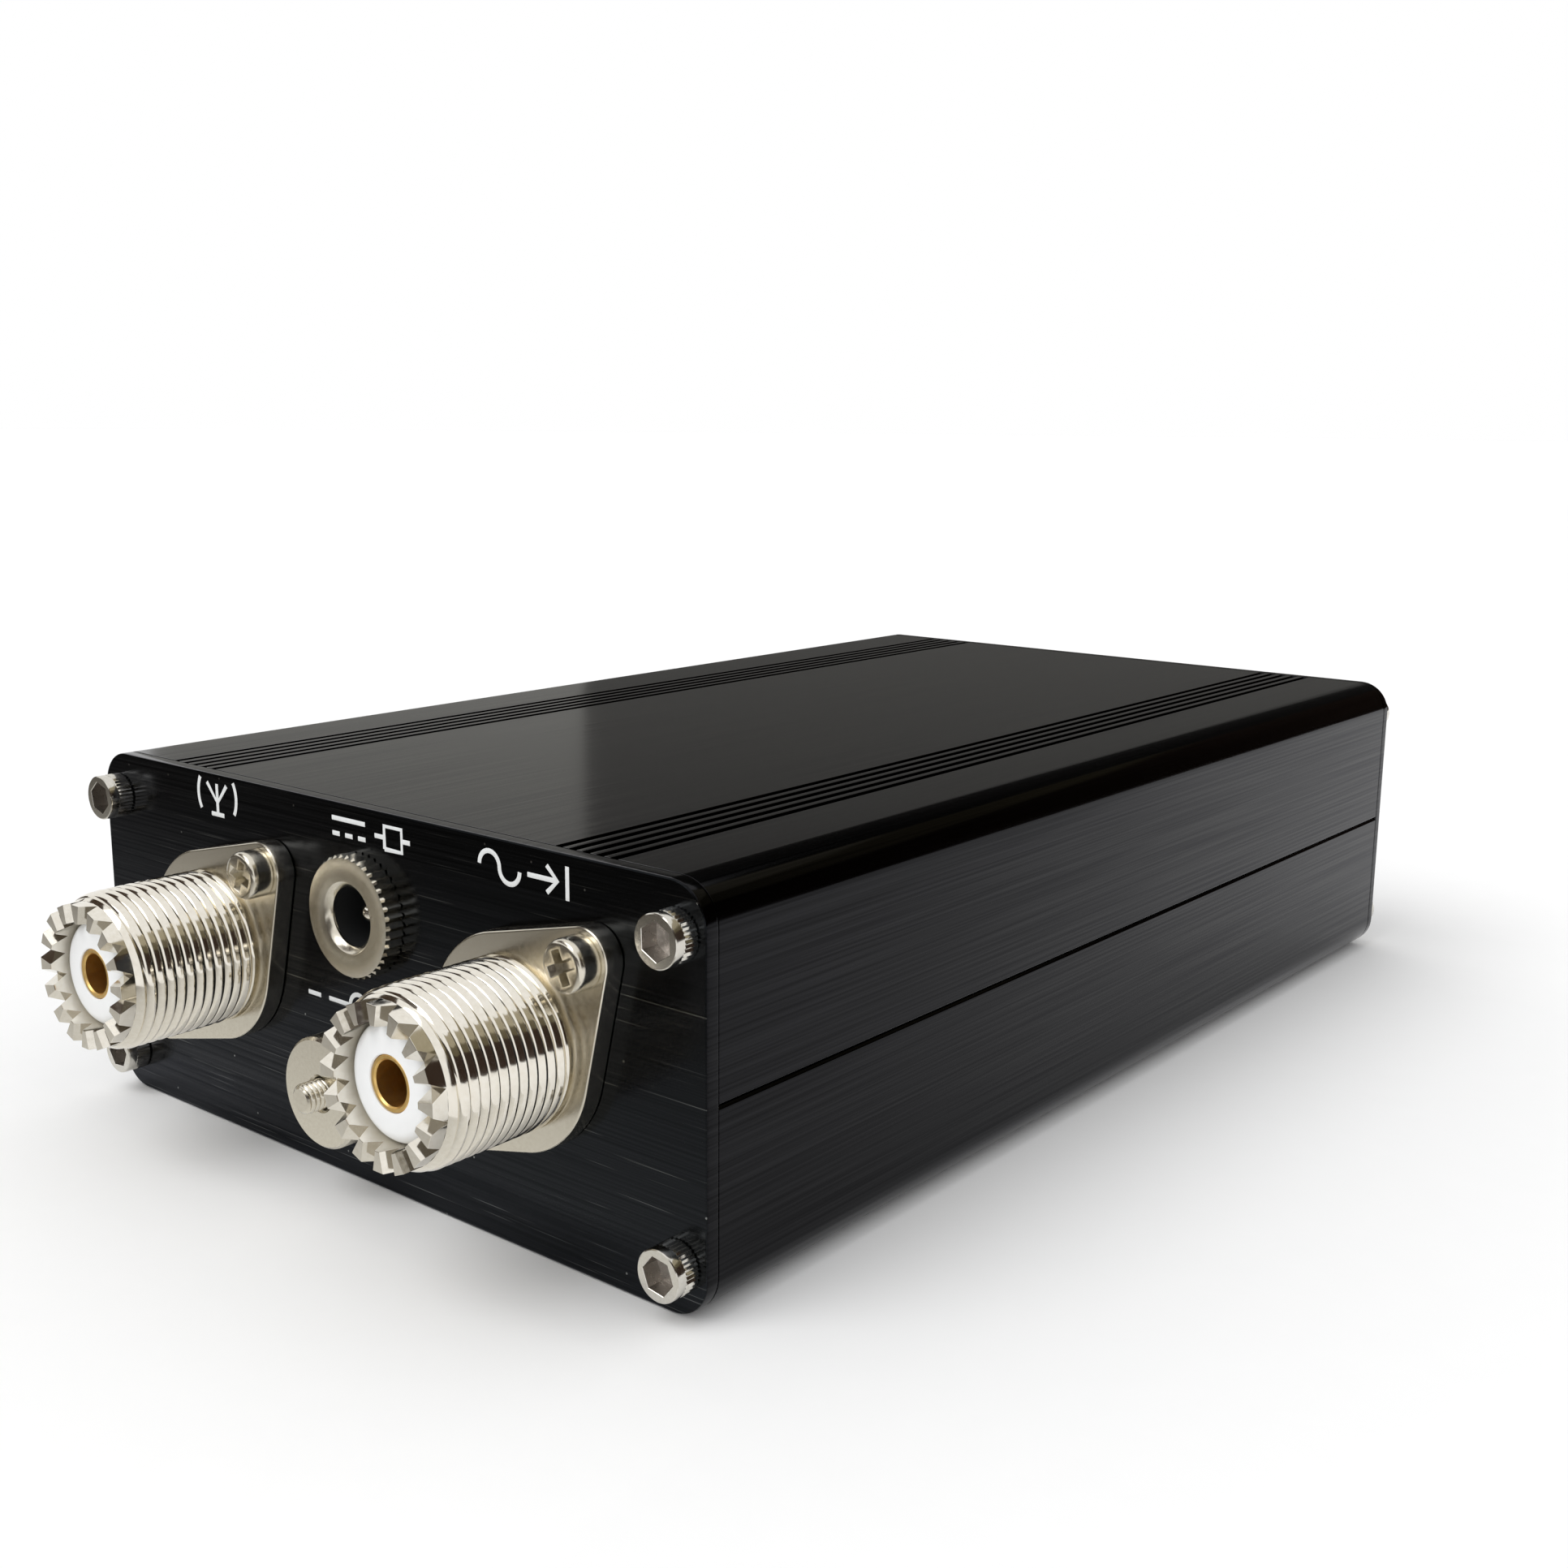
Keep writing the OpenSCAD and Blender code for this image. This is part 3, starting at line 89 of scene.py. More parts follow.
# %% [markdown]
# Most of the small hardware was turned on a lathe. A spin does the same: a profile of
# (radius, height) points goes once round the Z axis. Knurls, hexagons and teeth are then
# made by moving the columns of that mesh in or out, as a cutter would. It is modelled
# standing up and then laid on a panel, because a profile is easiest to read that way.

# %% Turning a profile, and putting pieces on the two end panels
PANEL_FACE = 72.0


def spun(profile, steps):
    bm = bmesh.new()
    verts = [bm.verts.new((r, 0, z)) for r, z in profile]
    edges = [bm.edges.new(pair) for pair in zip(verts, verts[1:])]
    bmesh.ops.spin(bm, geom=verts + edges, cent=(0, 0, 0), axis=(0, 0, 1),
                   angle=2 * math.pi, steps=steps, use_merge=True)
    bmesh.ops.remove_doubles(bm, verts=bm.verts, dist=1e-4)
    bmesh.ops.recalc_face_normals(bm, faces=bm.faces)
    return bm


def joined(*parts):
    """Several meshes in one, for a piece whose parts were made one by one."""
    whole = bmesh.new()
    for part in parts:
        mesh = bpy.data.meshes.new("part")
        part.to_mesh(mesh)
        part.free()
        whole.from_mesh(mesh)
        bpy.data.meshes.remove(mesh)
    return whole


def on_connector_panel(bm, x, z):
    """The mesh's own +Z points out of the connector panel, which faces -Y."""
    place = Matrix.Translation((x, -PANEL_FACE, z)) @ Matrix.Rotation(math.pi / 2, 4, "X")
    bmesh.ops.transform(bm, matrix=place, verts=bm.verts)
    return bm


def on_display_panel(bm, x, z):
    """The mesh's own +Z points out of the display panel, which faces +Y."""
    turn = Matrix.Rotation(math.pi, 4, "Z") @ Matrix.Rotation(math.pi / 2, 4, "X")
    bmesh.ops.transform(bm, matrix=Matrix.Translation((x, PANEL_FACE, z)) @ turn, verts=bm.verts)
    return bm


# %% [markdown]
# No real edge is perfectly sharp: a thin bevel catches the light as a bright line. The
# CAD meshes are loose triangles, so a copy is merged, its flat triangles are dissolved into
# whole faces, and then the sharp edges are bevelled.

# %% A CAD mesh with its edges broken
MERGE_MM = 1e-3
FLAT_WITHIN = math.radians(1)


def merged(node):
    """A copy of a CAD node's mesh in millimetres, with its loose triangles joined."""
    bm = bmesh.new()
    bm.from_mesh(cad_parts[node].data)
    bmesh.ops.scale(bm, vec=(1 / MM, 1 / MM, 1 / MM), verts=bm.verts)
    bmesh.ops.remove_doubles(bm, verts=bm.verts, dist=MERGE_MM)
    return bm


def softened(node, width, sharper_than=40):
    bm = merged(node)
    bmesh.ops.dissolve_limit(bm, angle_limit=FLAT_WITHIN, verts=bm.verts, edges=bm.edges)
    sharp = [e for e in bm.edges if e.calc_face_angle(0) > math.radians(sharper_than)]
    bmesh.ops.bevel(bm, geom=sharp, offset=width, affect="EDGES", segments=2, profile=0.5,
                    material=-1, clamp_overlap=False)
    return bm


# %% [markdown]
# ## Finishes
# A finish is a node tree. One function turns the sRGB hex values that a colour chart
# gives into the linear values that Blender's sockets take, and one adds a node with its
# settings and links. Everything else is a list of nodes.

# %% Colours, nodes and an empty finish
PER_MM = 1000.0


def hex_colour(code):
    parts = [int(code[i:i + 2], 16) / 255 for i in (1, 3, 5)]
    return [c / 12.92 if c <= 0.04045 else ((c + 0.055) / 1.055) ** 2.4 for c in parts] + [1.0]


def add_node(tree, kind, links=None, inputs=None, **settings):
    node = tree.nodes.new("ShaderNode" + kind)
    for name, value in settings.items():
        setattr(node, name, value)
    for socket, value in (inputs or {}).items():
        node.inputs[socket].default_value = value
    for socket, source in (links or {}).items():
        tree.links.new(source, node.inputs[socket])
    return node


def new_finish(name, **sockets):
    """A material with one shader, whose sockets are given by name with _ for each space."""
    material = bpy.data.materials.new(name)
    material.use_nodes = True
    tree = material.node_tree
    shader = tree.nodes["Principled BSDF"]
    for socket, value in sockets.items():
        shader.inputs[socket.replace("_", " ")].default_value = value
    place = add_node(tree, "TexCoord").outputs["Object"]
    return material, tree, shader, place


# %% [markdown]
# ### Black anodised aluminium
# The case is aluminium with a dyed oxide layer: it looks black from straight on and turns
# to a grey mirror at a glancing angle. A metal with a very dark base and a paler edge tint
# gives just that, with no painted gradient. The shells were brushed along their length
# before they were dyed, so a noise stretched along Y breaks up the gloss and the tint; the
# panels were brushed across, along X.

# %% Anodised shells
# Real brush lines are about 0.05 mm apart; they are drawn 0.25 mm apart so that they show.
BRUSH_MM = 0.25
BRUSH_LENGTH_MM = 40.0


def brushed_black(name, colour, shade, along, roughness, depth, edge, edge_shade):
    finish, tree, shader, place = new_finish(name, Metallic=1.0)
    scale = [PER_MM / BRUSH_MM] * 3
    scale[along] = PER_MM / BRUSH_LENGTH_MM
    lines = add_node(tree, "Mapping", {"Vector": place}, {"Scale": scale})
    brush = add_node(tree, "TexNoise", {"Vector": lines.outputs[0]}, {"Scale": 1.0, "Detail": 3.0})
    gloss = add_node(tree, "MapRange", {"Value": brush.outputs[0]},
                     {"From Min": 0.3, "From Max": 0.7, "To Min": 0.75 * roughness,
                      "To Max": 1.25 * roughness})
    groove = add_node(tree, "MapRange", {"Value": brush.outputs[0]},
                      {"From Min": 0.35, "From Max": 0.65})
    # the dye takes a little unevenly along the brush lines
    tint = add_node(tree, "Mix", {0: groove.outputs[0]},
                    {6: hex_colour(shade), 7: hex_colour(colour)}, data_type="RGBA")
    # at a glancing angle the lines show as faint streaks in the mirror
    streak = add_node(tree, "Mix", {0: groove.outputs[0]},
                      {6: hex_colour(edge_shade), 7: hex_colour(edge)}, data_type="RGBA")
    bump = add_node(tree, "Bump", {"Height": brush.outputs[0]},
                    {"Strength": depth, "Distance": 0.02 * MM})
    tree.links.new(tint.outputs[2], shader.inputs["Base Color"])
    tree.links.new(streak.outputs[2], shader.inputs["Specular Tint"])
    tree.links.new(gloss.outputs[0], shader.inputs["Roughness"])
    tree.links.new(bump.outputs[0], shader.inputs["Normal"])
    return finish, tree, shader, place, tint


# glossy black with long, faint streaks: the shells mirror the room at a low angle
anodised_case, *_ = brushed_black("anodised_aluminium_brushed_along", "#212123", "#161617",
                                  1, 0.11, 0.12, "#fdfdfd", "#f0f0f2")
print(anodised_case.name)

# %% [markdown]
# The panels are sheet metal that was handled more: fine bright scratches run along the
# brush lines, and there are specks of dust. Both could be modelled, but they have no height
# that shows, so they are drawn: a noise squeezed to thin lines and cut off near its peaks,
# and the middles of a cell pattern, of which only some are kept.

# %% Anodised panels, with scratches and dust
SCRATCH_MM = (14, 5, 0.16)
DUST_PATCH_MM = 7
# satin black that lies a little greyer than the shells, with light marks
anodised_panel, tree, shader, place, tint = brushed_black(
    "anodised_aluminium_brushed_across", "#27292c", "#1f2123", 0, 0.19, 0.2, "#f0f0f3", "#d6d6da")
streak_map = add_node(tree, "Mapping", {"Vector": place},
                      {"Scale": [PER_MM / length for length in SCRATCH_MM]})
streaks = add_node(tree, "TexNoise", {"Vector": streak_map.outputs[0]},
                   {"Scale": 1.0, "Detail": 1.0})
scratch = add_node(tree, "MapRange", {"Value": streaks.outputs[0]},
                   {"From Min": 0.69, "From Max": 0.79, "To Max": 0.45})
# specks of dust about 0.2 mm across, one or none in each patch
facing = add_node(tree, "Mapping", {"Vector": place}, {"Rotation": (math.pi / 2, 0, 0)})
dust = add_node(tree, "TexVoronoi", {"Vector": facing.outputs[0]},
                {"Scale": PER_MM / DUST_PATCH_MM}, voronoi_dimensions="2D")
speck = add_node(tree, "MapRange", {"Value": dust.outputs["Distance"]},
                 {"From Min": 0.018, "From Max": 0.010, "To Max": 0.9})
picked = add_node(tree, "Math", {0: dust.outputs["Color"]}, {1: 0.5}, operation="GREATER_THAN")
speck = add_node(tree, "Math", {0: speck.outputs[0], 1: picked.outputs[0]}, operation="MULTIPLY")
mark = add_node(tree, "Math", {0: scratch.outputs[0], 1: speck.outputs[0]}, operation="MAXIMUM")
marked = add_node(tree, "Mix", {0: mark.outputs[0], 6: tint.outputs[2]},
                  {7: hex_colour("#8e908f")}, data_type="RGBA")
tree.links.new(marked.outputs[2], shader.inputs["Base Color"])
print(anodised_panel.name)

# %% [markdown]
# ### Plated hardware
# Sockets, nuts and screws are brass or steel with a nickel plate: a slightly warm, pale
# metal. Turned faces are bright; cast or tumbled ones are satin. Each gets a faint
# mottling of colour and gloss, at a grain that shows at this distance. One recipe serves
# them all, because only the colour, the gloss and the grain differ.

# %% Metals
def plated(name, colour, shade, roughness, spread, grain_mm, depth=0.05):
    finish, tree, shader, place = new_finish(name, Metallic=1.0)
    grain = add_node(tree, "TexNoise", {"Vector": place},
                     {"Scale": PER_MM / grain_mm, "Detail": 4.0})
    tint = add_node(tree, "Mix", {0: grain.outputs[0]},
                    {6: hex_colour(shade), 7: hex_colour(colour)}, data_type="RGBA")
    gloss = add_node(tree, "MapRange", {"Value": grain.outputs[0]},
                     {"From Min": 0.3, "From Max": 0.7, "To Min": roughness + spread,
                      "To Max": roughness - spread})
    bump = add_node(tree, "Bump", {"Height": grain.outputs[0]},
                    {"Strength": depth, "Distance": 0.02 * MM})
    tree.links.new(tint.outputs[2], shader.inputs["Base Color"])
    tree.links.new(gloss.outputs[0], shader.inputs["Roughness"])
    tree.links.new(bump.outputs[0], shader.inputs["Normal"])
    return finish


# bright nickel on turned brass: almost a mirror, warm in its shadows
bright_nickel = plated("nickel_plate_bright", "#eeeae1", "#dfd8c9", 0.10, 0.03, 0.5)
# satin nickel on the pressed flange and the nuts: soft, slightly yellow reflections
satin_nickel = plated("nickel_plate_satin", "#ddd8ca", "#d2cbbc", 0.22, 0.05, 0.35)
# the cap screws are a little greyer than the sockets and softly polished
dull_nickel = plated("nickel_plate_dull", "#d9d6cf", "#c9c5ba", 0.15, 0.05, 0.3)
# the hexagon is broached after the head is turned, so its walls are rougher; their darker grey is
# partly painted shade inside the recess
broached_steel_and_painted_shade = plated("steel_broached_and_painted_shade", "#c6c1bb", "#a8a29c", 0.32, 0.08, 0.3, 0.2)
# dipped in tin: a flat, cool grey shine
tinned_steel = plated("tinned_steel", "#b4b6b8", "#9a9c9e", 0.35, 0.06, 0.4)
# gold flash over brass: pale yellow outside, and orange where the bore reflects itself
gilt_brass = plated("gilt_brass", "#f9d894", "#e9bc68", 0.36, 0.06, 0.4)
# clear enamel on copper wire: a reddish metal with a wet gloss
enamelled_copper = plated("enamelled_copper", "#c47a48", "#a35c30", 0.28, 0.05, 0.6)
print(len(bpy.data.materials), "materials so far")

# %% [markdown]
# ### Plastics, resins and boards
# Moulded plastics have a fine grain in their gloss and small drifts of colour. One recipe
# serves them all too: its colours, gloss and grain are given for each. White PTFE is
# a waxy solid whose index of refraction is low, so it shows hardly any gloss.

# %% Moulded and cured materials
def moulded(name, colour, shade, roughness, grain_mm, depth=0.2, **sockets):
    finish, tree, shader, place = new_finish(name, **sockets)
    grain = add_node(tree, "TexNoise", {"Vector": place},
                     {"Scale": PER_MM / grain_mm, "Detail": 3.0})
    tint = add_node(tree, "Mix", {0: grain.outputs[0]},
                    {6: hex_colour(shade), 7: hex_colour(colour)}, data_type="RGBA")
    gloss = add_node(tree, "MapRange", {"Value": grain.outputs[0]},
                     {"From Min": 0.3, "From Max": 0.7, "To Min": roughness - 0.05,
                      "To Max": roughness + 0.05})
    bump = add_node(tree, "Bump", {"Height": grain.outputs[0]},
                    {"Strength": depth, "Distance": 0.03 * MM})
    tree.links.new(tint.outputs[2], shader.inputs["Base Color"])
    tree.links.new(gloss.outputs[0], shader.inputs["Roughness"])
    tree.links.new(bump.outputs[0], shader.inputs["Normal"])
    return finish


# turned PTFE: an even, waxy white
ptfe = moulded("ptfe_turned", "#f0f1f1", "#e9eaea", 0.42, 1.5, IOR=1.36)
# screen-printing ink: matt white, thinner in places
white_print = moulded("white_screen_print", "#e6e8e8", "#d4d6d6", 0.6, 0.3)
# moulded nylon: black with a soft sheen
black_nylon = moulded("black_nylon_moulded", "#1b1b1c", "#141415", 0.45, 0.4)
print("PTFE, print and nylon are ready")

# %% [markdown]
# ## The case
# Two half shells of the same extrusion meet at a seam half-way up. They could be drawn
# again here, but the CAD solids have the right profile, so the visible pieces are copies of
# them with every sharp edge broken, which is what the deburring brush leaves.

# %% Shells and panels
SHELL_EDGE, PANEL_EDGE = 0.08, 0.18
for half in ("lower", "upper"):
    finished(softened(f"{half}_shell", SHELL_EDGE), f"{half}_shell_brushed", anodised_case,
             "case", "anodised_case", f"{half}_shell")
for side in ("connector", "display"):
    bm = softened(f"{side}_panel", PANEL_EDGE)
    # only the flat faces were brushed: the cut rim has the plain finish of the shells
    for face in bm.faces:
        face.material_index = int(abs(face.normal.y) < 0.5)
    panel = finished(bm, f"{side}_panel_brushed", anodised_panel, "case", "anodised_panel",
                     f"{side}_panel")
    panel.data.materials.append(anodised_case)

# %% [markdown]
# ## Cap screws
# Eight hexagon-socket cap screws hold the panels. On the real ones the rear of the head
# is knurled and a smooth ring runs round the front. The socket could be cut with a boolean,
# but one spin does it all: a profile is spun in 72 columns, every second column of the
# knurl is pulled in, and the rings of the socket are moved out to a hexagon, whose flats
# each take 12 columns.

# %% Cap screw head
MIDDLE_Z, SCREW_X, SCREW_RISE = 19, 40.9, 14.4
SCREW_SPOTS = [(x, z) for x in (-SCREW_X, SCREW_X)
               for z in (MIDDLE_Z - SCREW_RISE, MIDDLE_Z + SCREW_RISE)]
HEAD_COLUMNS = 72
HEX_FLAT = 1.5
KNURL_DEPTH = 0.15


def hexagon_radius(angle, flat):
    return flat / math.cos((angle + math.pi / 6) % (math.pi / 3) - math.pi / 6)


def cap_screw(turned):
    rim, front, knurl_top, hexagon = 2.375, 2.7, 1.6, 1.7
    shank = [(0.0, -8.0), (1.05, -8.0), (1.25, -7.8), (1.25, 0.0)]
    sides = [(2.2, 0.0), (rim, 0.16), (rim, knurl_top), (2.28, 1.68), (2.28, 1.76), (rim, 1.84),
             (rim, 2.53), (2.34, 2.64), (2.25, front)]
    socket = [(hexagon + 0.05, front), (hexagon + 0.01, front - 0.05), (hexagon, 0.9),
              (0.5, 0.75), (0.0, 0.7)]
    bm = spun(shank + sides + socket, HEAD_COLUMNS)
    for v in bm.verts:
        r, angle = math.hypot(v.co.x, v.co.y), math.atan2(v.co.y, v.co.x)
        column = round(angle / (2 * math.pi / HEAD_COLUMNS))
        if r > rim - 0.01 and v.co.z < knurl_top + 0.01 and column % 2:
            v.co.xy *= (rim - KNURL_DEPTH) / rim
        elif hexagon - 0.01 < r < hexagon + 0.1:
            v.co.xy *= hexagon_radius(angle, HEX_FLAT + r - hexagon) / r
    for face in bm.faces:
        middle = face.calc_center_median()
        in_socket = 0.5 < middle.z < front - 0.06 and middle.xy.length < hexagon + 0.2
        # faces inside the hexagon socket take the second finish: rougher steel, painted darker as
        # shade in the recess
        face.material_index = int(in_socket)
    bmesh.ops.rotate(bm, matrix=Matrix.Rotation(turned, 3, "Z"), verts=bm.verts)
    return bm


# each screw stopped at an angle of its own when it was tight
SCREW_TURNS = (35, 12, 21, 2)
for side, place_on in (("connector", on_connector_panel), ("display", on_display_panel)):
    screws = [place_on(cap_screw(math.radians(turned)), x, z)
              for (x, z), turned in zip(SCREW_SPOTS, SCREW_TURNS)]
    screws = finished(joined(*screws), f"{side}_panel_cap_screws", dull_nickel,
                      "case", "nickel_screw", f"{side}_panel_screws")
    screws.data.materials.append(broached_steel_and_painted_shade)

# %% [markdown]
# ## Coaxial sockets
# Each socket is one plated piece: a satin flange with two ears, and a brightly turned
# barrel with a thread, a round shoulder and a toothed rim. They are made apart, because
# they have different finishes. The flange is the hull of three discs, which gives the
# straight sides that just touch the discs, without working out where they touch.

# %% The flange: a disc and two ears on a slant
FLANGE_T, FLANGE_R, FLANGE_EDGE = 2.1, 9.95, 0.22
EAR_R, EAR_FAR = 3.0, 13.2
EAR_X, EAR_Z = EAR_FAR * math.cos(math.pi / 4), EAR_FAR * math.sin(math.pi / 4)


def flange():
    bm = bmesh.new()
    for x, y, r in ((0, 0, FLANGE_R), (EAR_X, EAR_Z, EAR_R), (-EAR_X, -EAR_Z, EAR_R)):
        for z in (0.0, FLANGE_T):
            bmesh.ops.create_circle(bm, radius=r, segments=128,
                                    matrix=Matrix.Translation((x, y, z)))
    hull = bmesh.ops.convex_hull(bm, input=bm.verts)
    inside = set(hull["geom_interior"]) | set(hull["geom_unused"])
    bmesh.ops.delete(bm, geom=[g for g in inside if isinstance(g, bmesh.types.BMVert)],
                     context="VERTS")
    bmesh.ops.dissolve_limit(bm, angle_limit=FLAT_WITHIN, verts=bm.verts, edges=bm.edges)
    edges = [e for e in bm.edges if e.calc_face_angle(0) > math.radians(60)]
    bmesh.ops.bevel(bm, geom=edges, offset=FLANGE_EDGE, affect="EDGES", segments=3, profile=0.5,
                    material=-1)
    return bm


# %% [markdown]
# The thread is 5/8 inch across with 24 turns to the inch. Rings would look nearly the same,
# but a real thread climbs, so one groove profile is spun on a rising helix. Two planes cut
# it to length, and the crests near the front are pushed in to a round shoulder.

# %% The thread: one groove on a rising helix, trimmed by the shoulder
INCH = 25.4
THREAD_R = 5 / 8 * INCH / 2
THREAD_PITCH = INCH / 24
THREAD_DEPTH = 0.5
THREAD_END, RIM_FOOT, RIM_R = 13.2, 14.9, 7.25
SHOULDER_ROUNDNESS = 1.8
TURN_STEPS = 96


def helix(radius, pitch, depth, low, high, turn_steps):
    """A threaded cylinder: flat crests, a long flank to the front and thin grooves."""
    # each point is a share of the pitch and a share of the depth
    shape = [(0.0, 1.0), (0.04, 0.9), (0.09, 0.06), (0.11, 0.0), (0.27, 0.0), (0.30, 0.03),
             (0.40, 0.10), (0.52, 0.20), (0.64, 0.32), (0.74, 0.45), (0.82, 0.60), (0.90, 0.85),
             (0.95, 1.0), (1.0, 1.0)]
    bm = bmesh.new()
    verts = [bm.verts.new((radius - depth * cut, 0, low + pitch * (share - 1.5)))
             for share, cut in shape]
    edges = [bm.edges.new(pair) for pair in zip(verts, verts[1:])]
    turns = math.ceil((high - low) / pitch) + 3
    bmesh.ops.spin(bm, geom=verts + edges, cent=(0, 0, 0), axis=(0, 0, 1),
                   angle=2 * math.pi * turns, dvec=(0, 0, pitch / turn_steps),
                   steps=turns * turn_steps)
    bmesh.ops.remove_doubles(bm, verts=bm.verts, dist=MERGE_MM)
    for level, side in ((low, -1), (high, 1)):
        bmesh.ops.bisect_plane(bm, geom=bm.verts[:] + bm.edges[:] + bm.faces[:], dist=1e-5,
                               plane_co=(0, 0, level), plane_no=(0, 0, side), clear_outer=True)
    bmesh.ops.recalc_face_normals(bm, faces=bm.faces)
    return bm


def trimmed(bm, low, low_r, high, high_r):
    """Nothing above low stands out past the round shoulder that runs from low_r to high_r."""
    for v in bm.verts:
        if v.co.z > low:
            share = ((v.co.z - low) / (high - low)) ** SHOULDER_ROUNDNESS
            shoulder = low_r + (high_r - low_r) * share
            v.co.xy *= min(1.0, shoulder / max(1e-6, math.hypot(v.co.x, v.co.y)))
    return bm


# %% [markdown]
# The rim has sixteen teeth that keep the plug's collar from turning. A cutter of one width
# makes each notch, so a tooth is narrower at the bore than outside. The rim is spun with
# three columns a tooth, and those are moved to the edges of the tips and the feet of the
# notches; a thin bevel then gives each facet its bright line.

# %% The rim: sixteen flat-tipped teeth
TEETH = 16
TOOTH_PITCH = 2 * math.pi / TEETH
TIP_W = 1.25
NOTCH_W = TOOTH_PITCH * RIM_R - TIP_W
RIM_TIP, NOTCH_FOOT, BORE_R = 16.5, 14.95, 5.4
TOOTH_EDGE = 0.06


def toothed_rim():
    bm = spun([(BORE_R, 2.0), (BORE_R, RIM_TIP), (RIM_R, RIM_TIP), (RIM_R, RIM_FOOT)], 3 * TEETH)
    for v in bm.verts:
        r = math.hypot(v.co.x, v.co.y)
        number = round(math.atan2(v.co.y, v.co.x) / (TOOTH_PITCH / 3)) % (3 * TEETH)
        half_tip = (TOOTH_PITCH - NOTCH_W / r) / 2
        angle = number // 3 * TOOTH_PITCH + (-half_tip, half_tip, TOOTH_PITCH / 2)[number % 3]
        if number % 3 == 2 and v.co.z > RIM_FOOT + 0.1:
            v.co.z = NOTCH_FOOT
        v.co.xy = r * math.cos(angle), r * math.sin(angle)
    edges = [e for e in bm.edges if e.calc_face_angle(0) > SMOOTH_BELOW
             and min(v.co.z for v in e.verts) > RIM_FOOT + 0.1]
    bmesh.ops.bevel(bm, geom=edges, offset=TOOTH_EDGE, affect="EDGES", segments=2, profile=0.5,
                    material=-1)
    return bm


# %% [markdown]
# Inside the barrel a white insulator with a round front edge holds the gold contact, whose
# bore is open to the front. All three are turned parts, so each is one spun profile.

# %% Both sockets, each of four parts
SOCKETS = {"antenna": -22.5, "input": 22.5}
SOCKET_Z = 20.45


def barrel():
    thread = helix(THREAD_R, THREAD_PITCH, THREAD_DEPTH, FLANGE_T - 0.1, RIM_FOOT, TURN_STEPS)
    thread = trimmed(thread, THREAD_END, THREAD_R, RIM_FOOT, RIM_R)
    spigot = spun([(6.2, 0.0), (6.2, -4.8), (6.0, -5.0), (BORE_R, -5.0), (BORE_R, 0.0)], 72)
    return joined(thread, toothed_rim(), spigot)


def insulator():
    front, edge, r = 15.0, 1.2, 5.35
    corner = [(r - edge + edge * math.cos(a), front - edge + edge * math.sin(a))
              for a in (math.radians(9 * i) for i in range(11))]
    return spun([(2.52, 3.0), (2.52, front - 0.08), (2.6, front)] + corner[::-1]
                + [(r, -5.75), (1.65, -5.75)], 96)


def contact():
    return spun([(0.0, -13.25), (1.6, -13.25), (1.6, 1.4), (2.5, 1.4), (2.5, 14.76), (2.4, 14.9),
                 (2.14, 14.9), (2.0, 14.74), (2.0, 2.4), (0.0, 2.4)], 72)


for name, x in SOCKETS.items():
    finished(on_connector_panel(barrel(), x, SOCKET_Z), f"{name}_socket_barrel", bright_nickel,
             "case", "nickel_plate", f"{name}_socket_body")
    finished(on_connector_panel(flange(), x, SOCKET_Z), f"{name}_socket_flange", satin_nickel,
             "case", "nickel_plate")
    finished(on_connector_panel(insulator(), x, SOCKET_Z), f"{name}_socket_ptfe", ptfe,
             "case", "white_insulator", f"{name}_socket_insulator")
    finished(on_connector_panel(contact(), x, SOCKET_Z), f"{name}_socket_gilt_contact",
             gilt_brass, "case", "gilt_contact", f"{name}_socket_contact")

# %% [markdown]
# The pan-head screws in the ears have a straight side, a rounded edge and a flat face. The
# outline of the cross recess is bridged to the edge of the face, and its walls are pulled
# down and inwards, as the punch that stamps such a recess is tapered.

# %% Socket screws and nuts
CROSS_W, CROSS_L, CROSS_DEPTH, CROSS_TAPER, CROSS_EDGE = 0.48, 1.6, 1.2, 0.62, 0.06
SHANK_END = -3.5 - FLANGE_T


def pan_screw(turned):
    face = 2.34
    bm = spun([(0.0, SHANK_END), (1.35, SHANK_END), (1.35, 0.0), (2.3, 0.0), (2.4, 0.1),
               (2.4, 1.62), (2.36, 1.92), (2.26, 2.14), (2.1, 2.28), (1.92, face)], 48)
    ring = [e for e in bm.edges if e.is_boundary]
    arm = [(CROSS_L, -CROSS_W), (CROSS_L, CROSS_W), (CROSS_W, CROSS_W)]
    corners = [Matrix.Rotation(i * math.pi / 2 + turned, 4, "Z") @ Vector((x, y, face))
               for i in range(4) for x, y in arm]
    mouth = [bm.verts.new(corner) for corner in corners]
    outline = [bm.edges.new(pair) for pair in zip(mouth, mouth[1:] + mouth[:1])]
    bmesh.ops.bridge_loops(bm, edges=ring + outline)
    walls = bmesh.ops.extrude_edge_only(bm, edges=outline)["geom"]
    floor = [g for g in walls if isinstance(g, bmesh.types.BMVert)]
    bmesh.ops.scale(bm, vec=(CROSS_TAPER, CROSS_TAPER, 1), verts=floor)
    bmesh.ops.translate(bm, vec=(0, 0, -CROSS_DEPTH), verts=floor)
    bmesh.ops.contextual_create(bm, geom=floor)
    bmesh.ops.bevel(bm, geom=[e for e in outline if e.is_valid], offset=CROSS_EDGE,
                    affect="EDGES", segments=2, profile=0.5, material=-1)
    bmesh.ops.recalc_face_normals(bm, faces=bm.faces)
    bmesh.ops.translate(bm, vec=(0, 0, FLANGE_T), verts=bm.verts)
    return bm


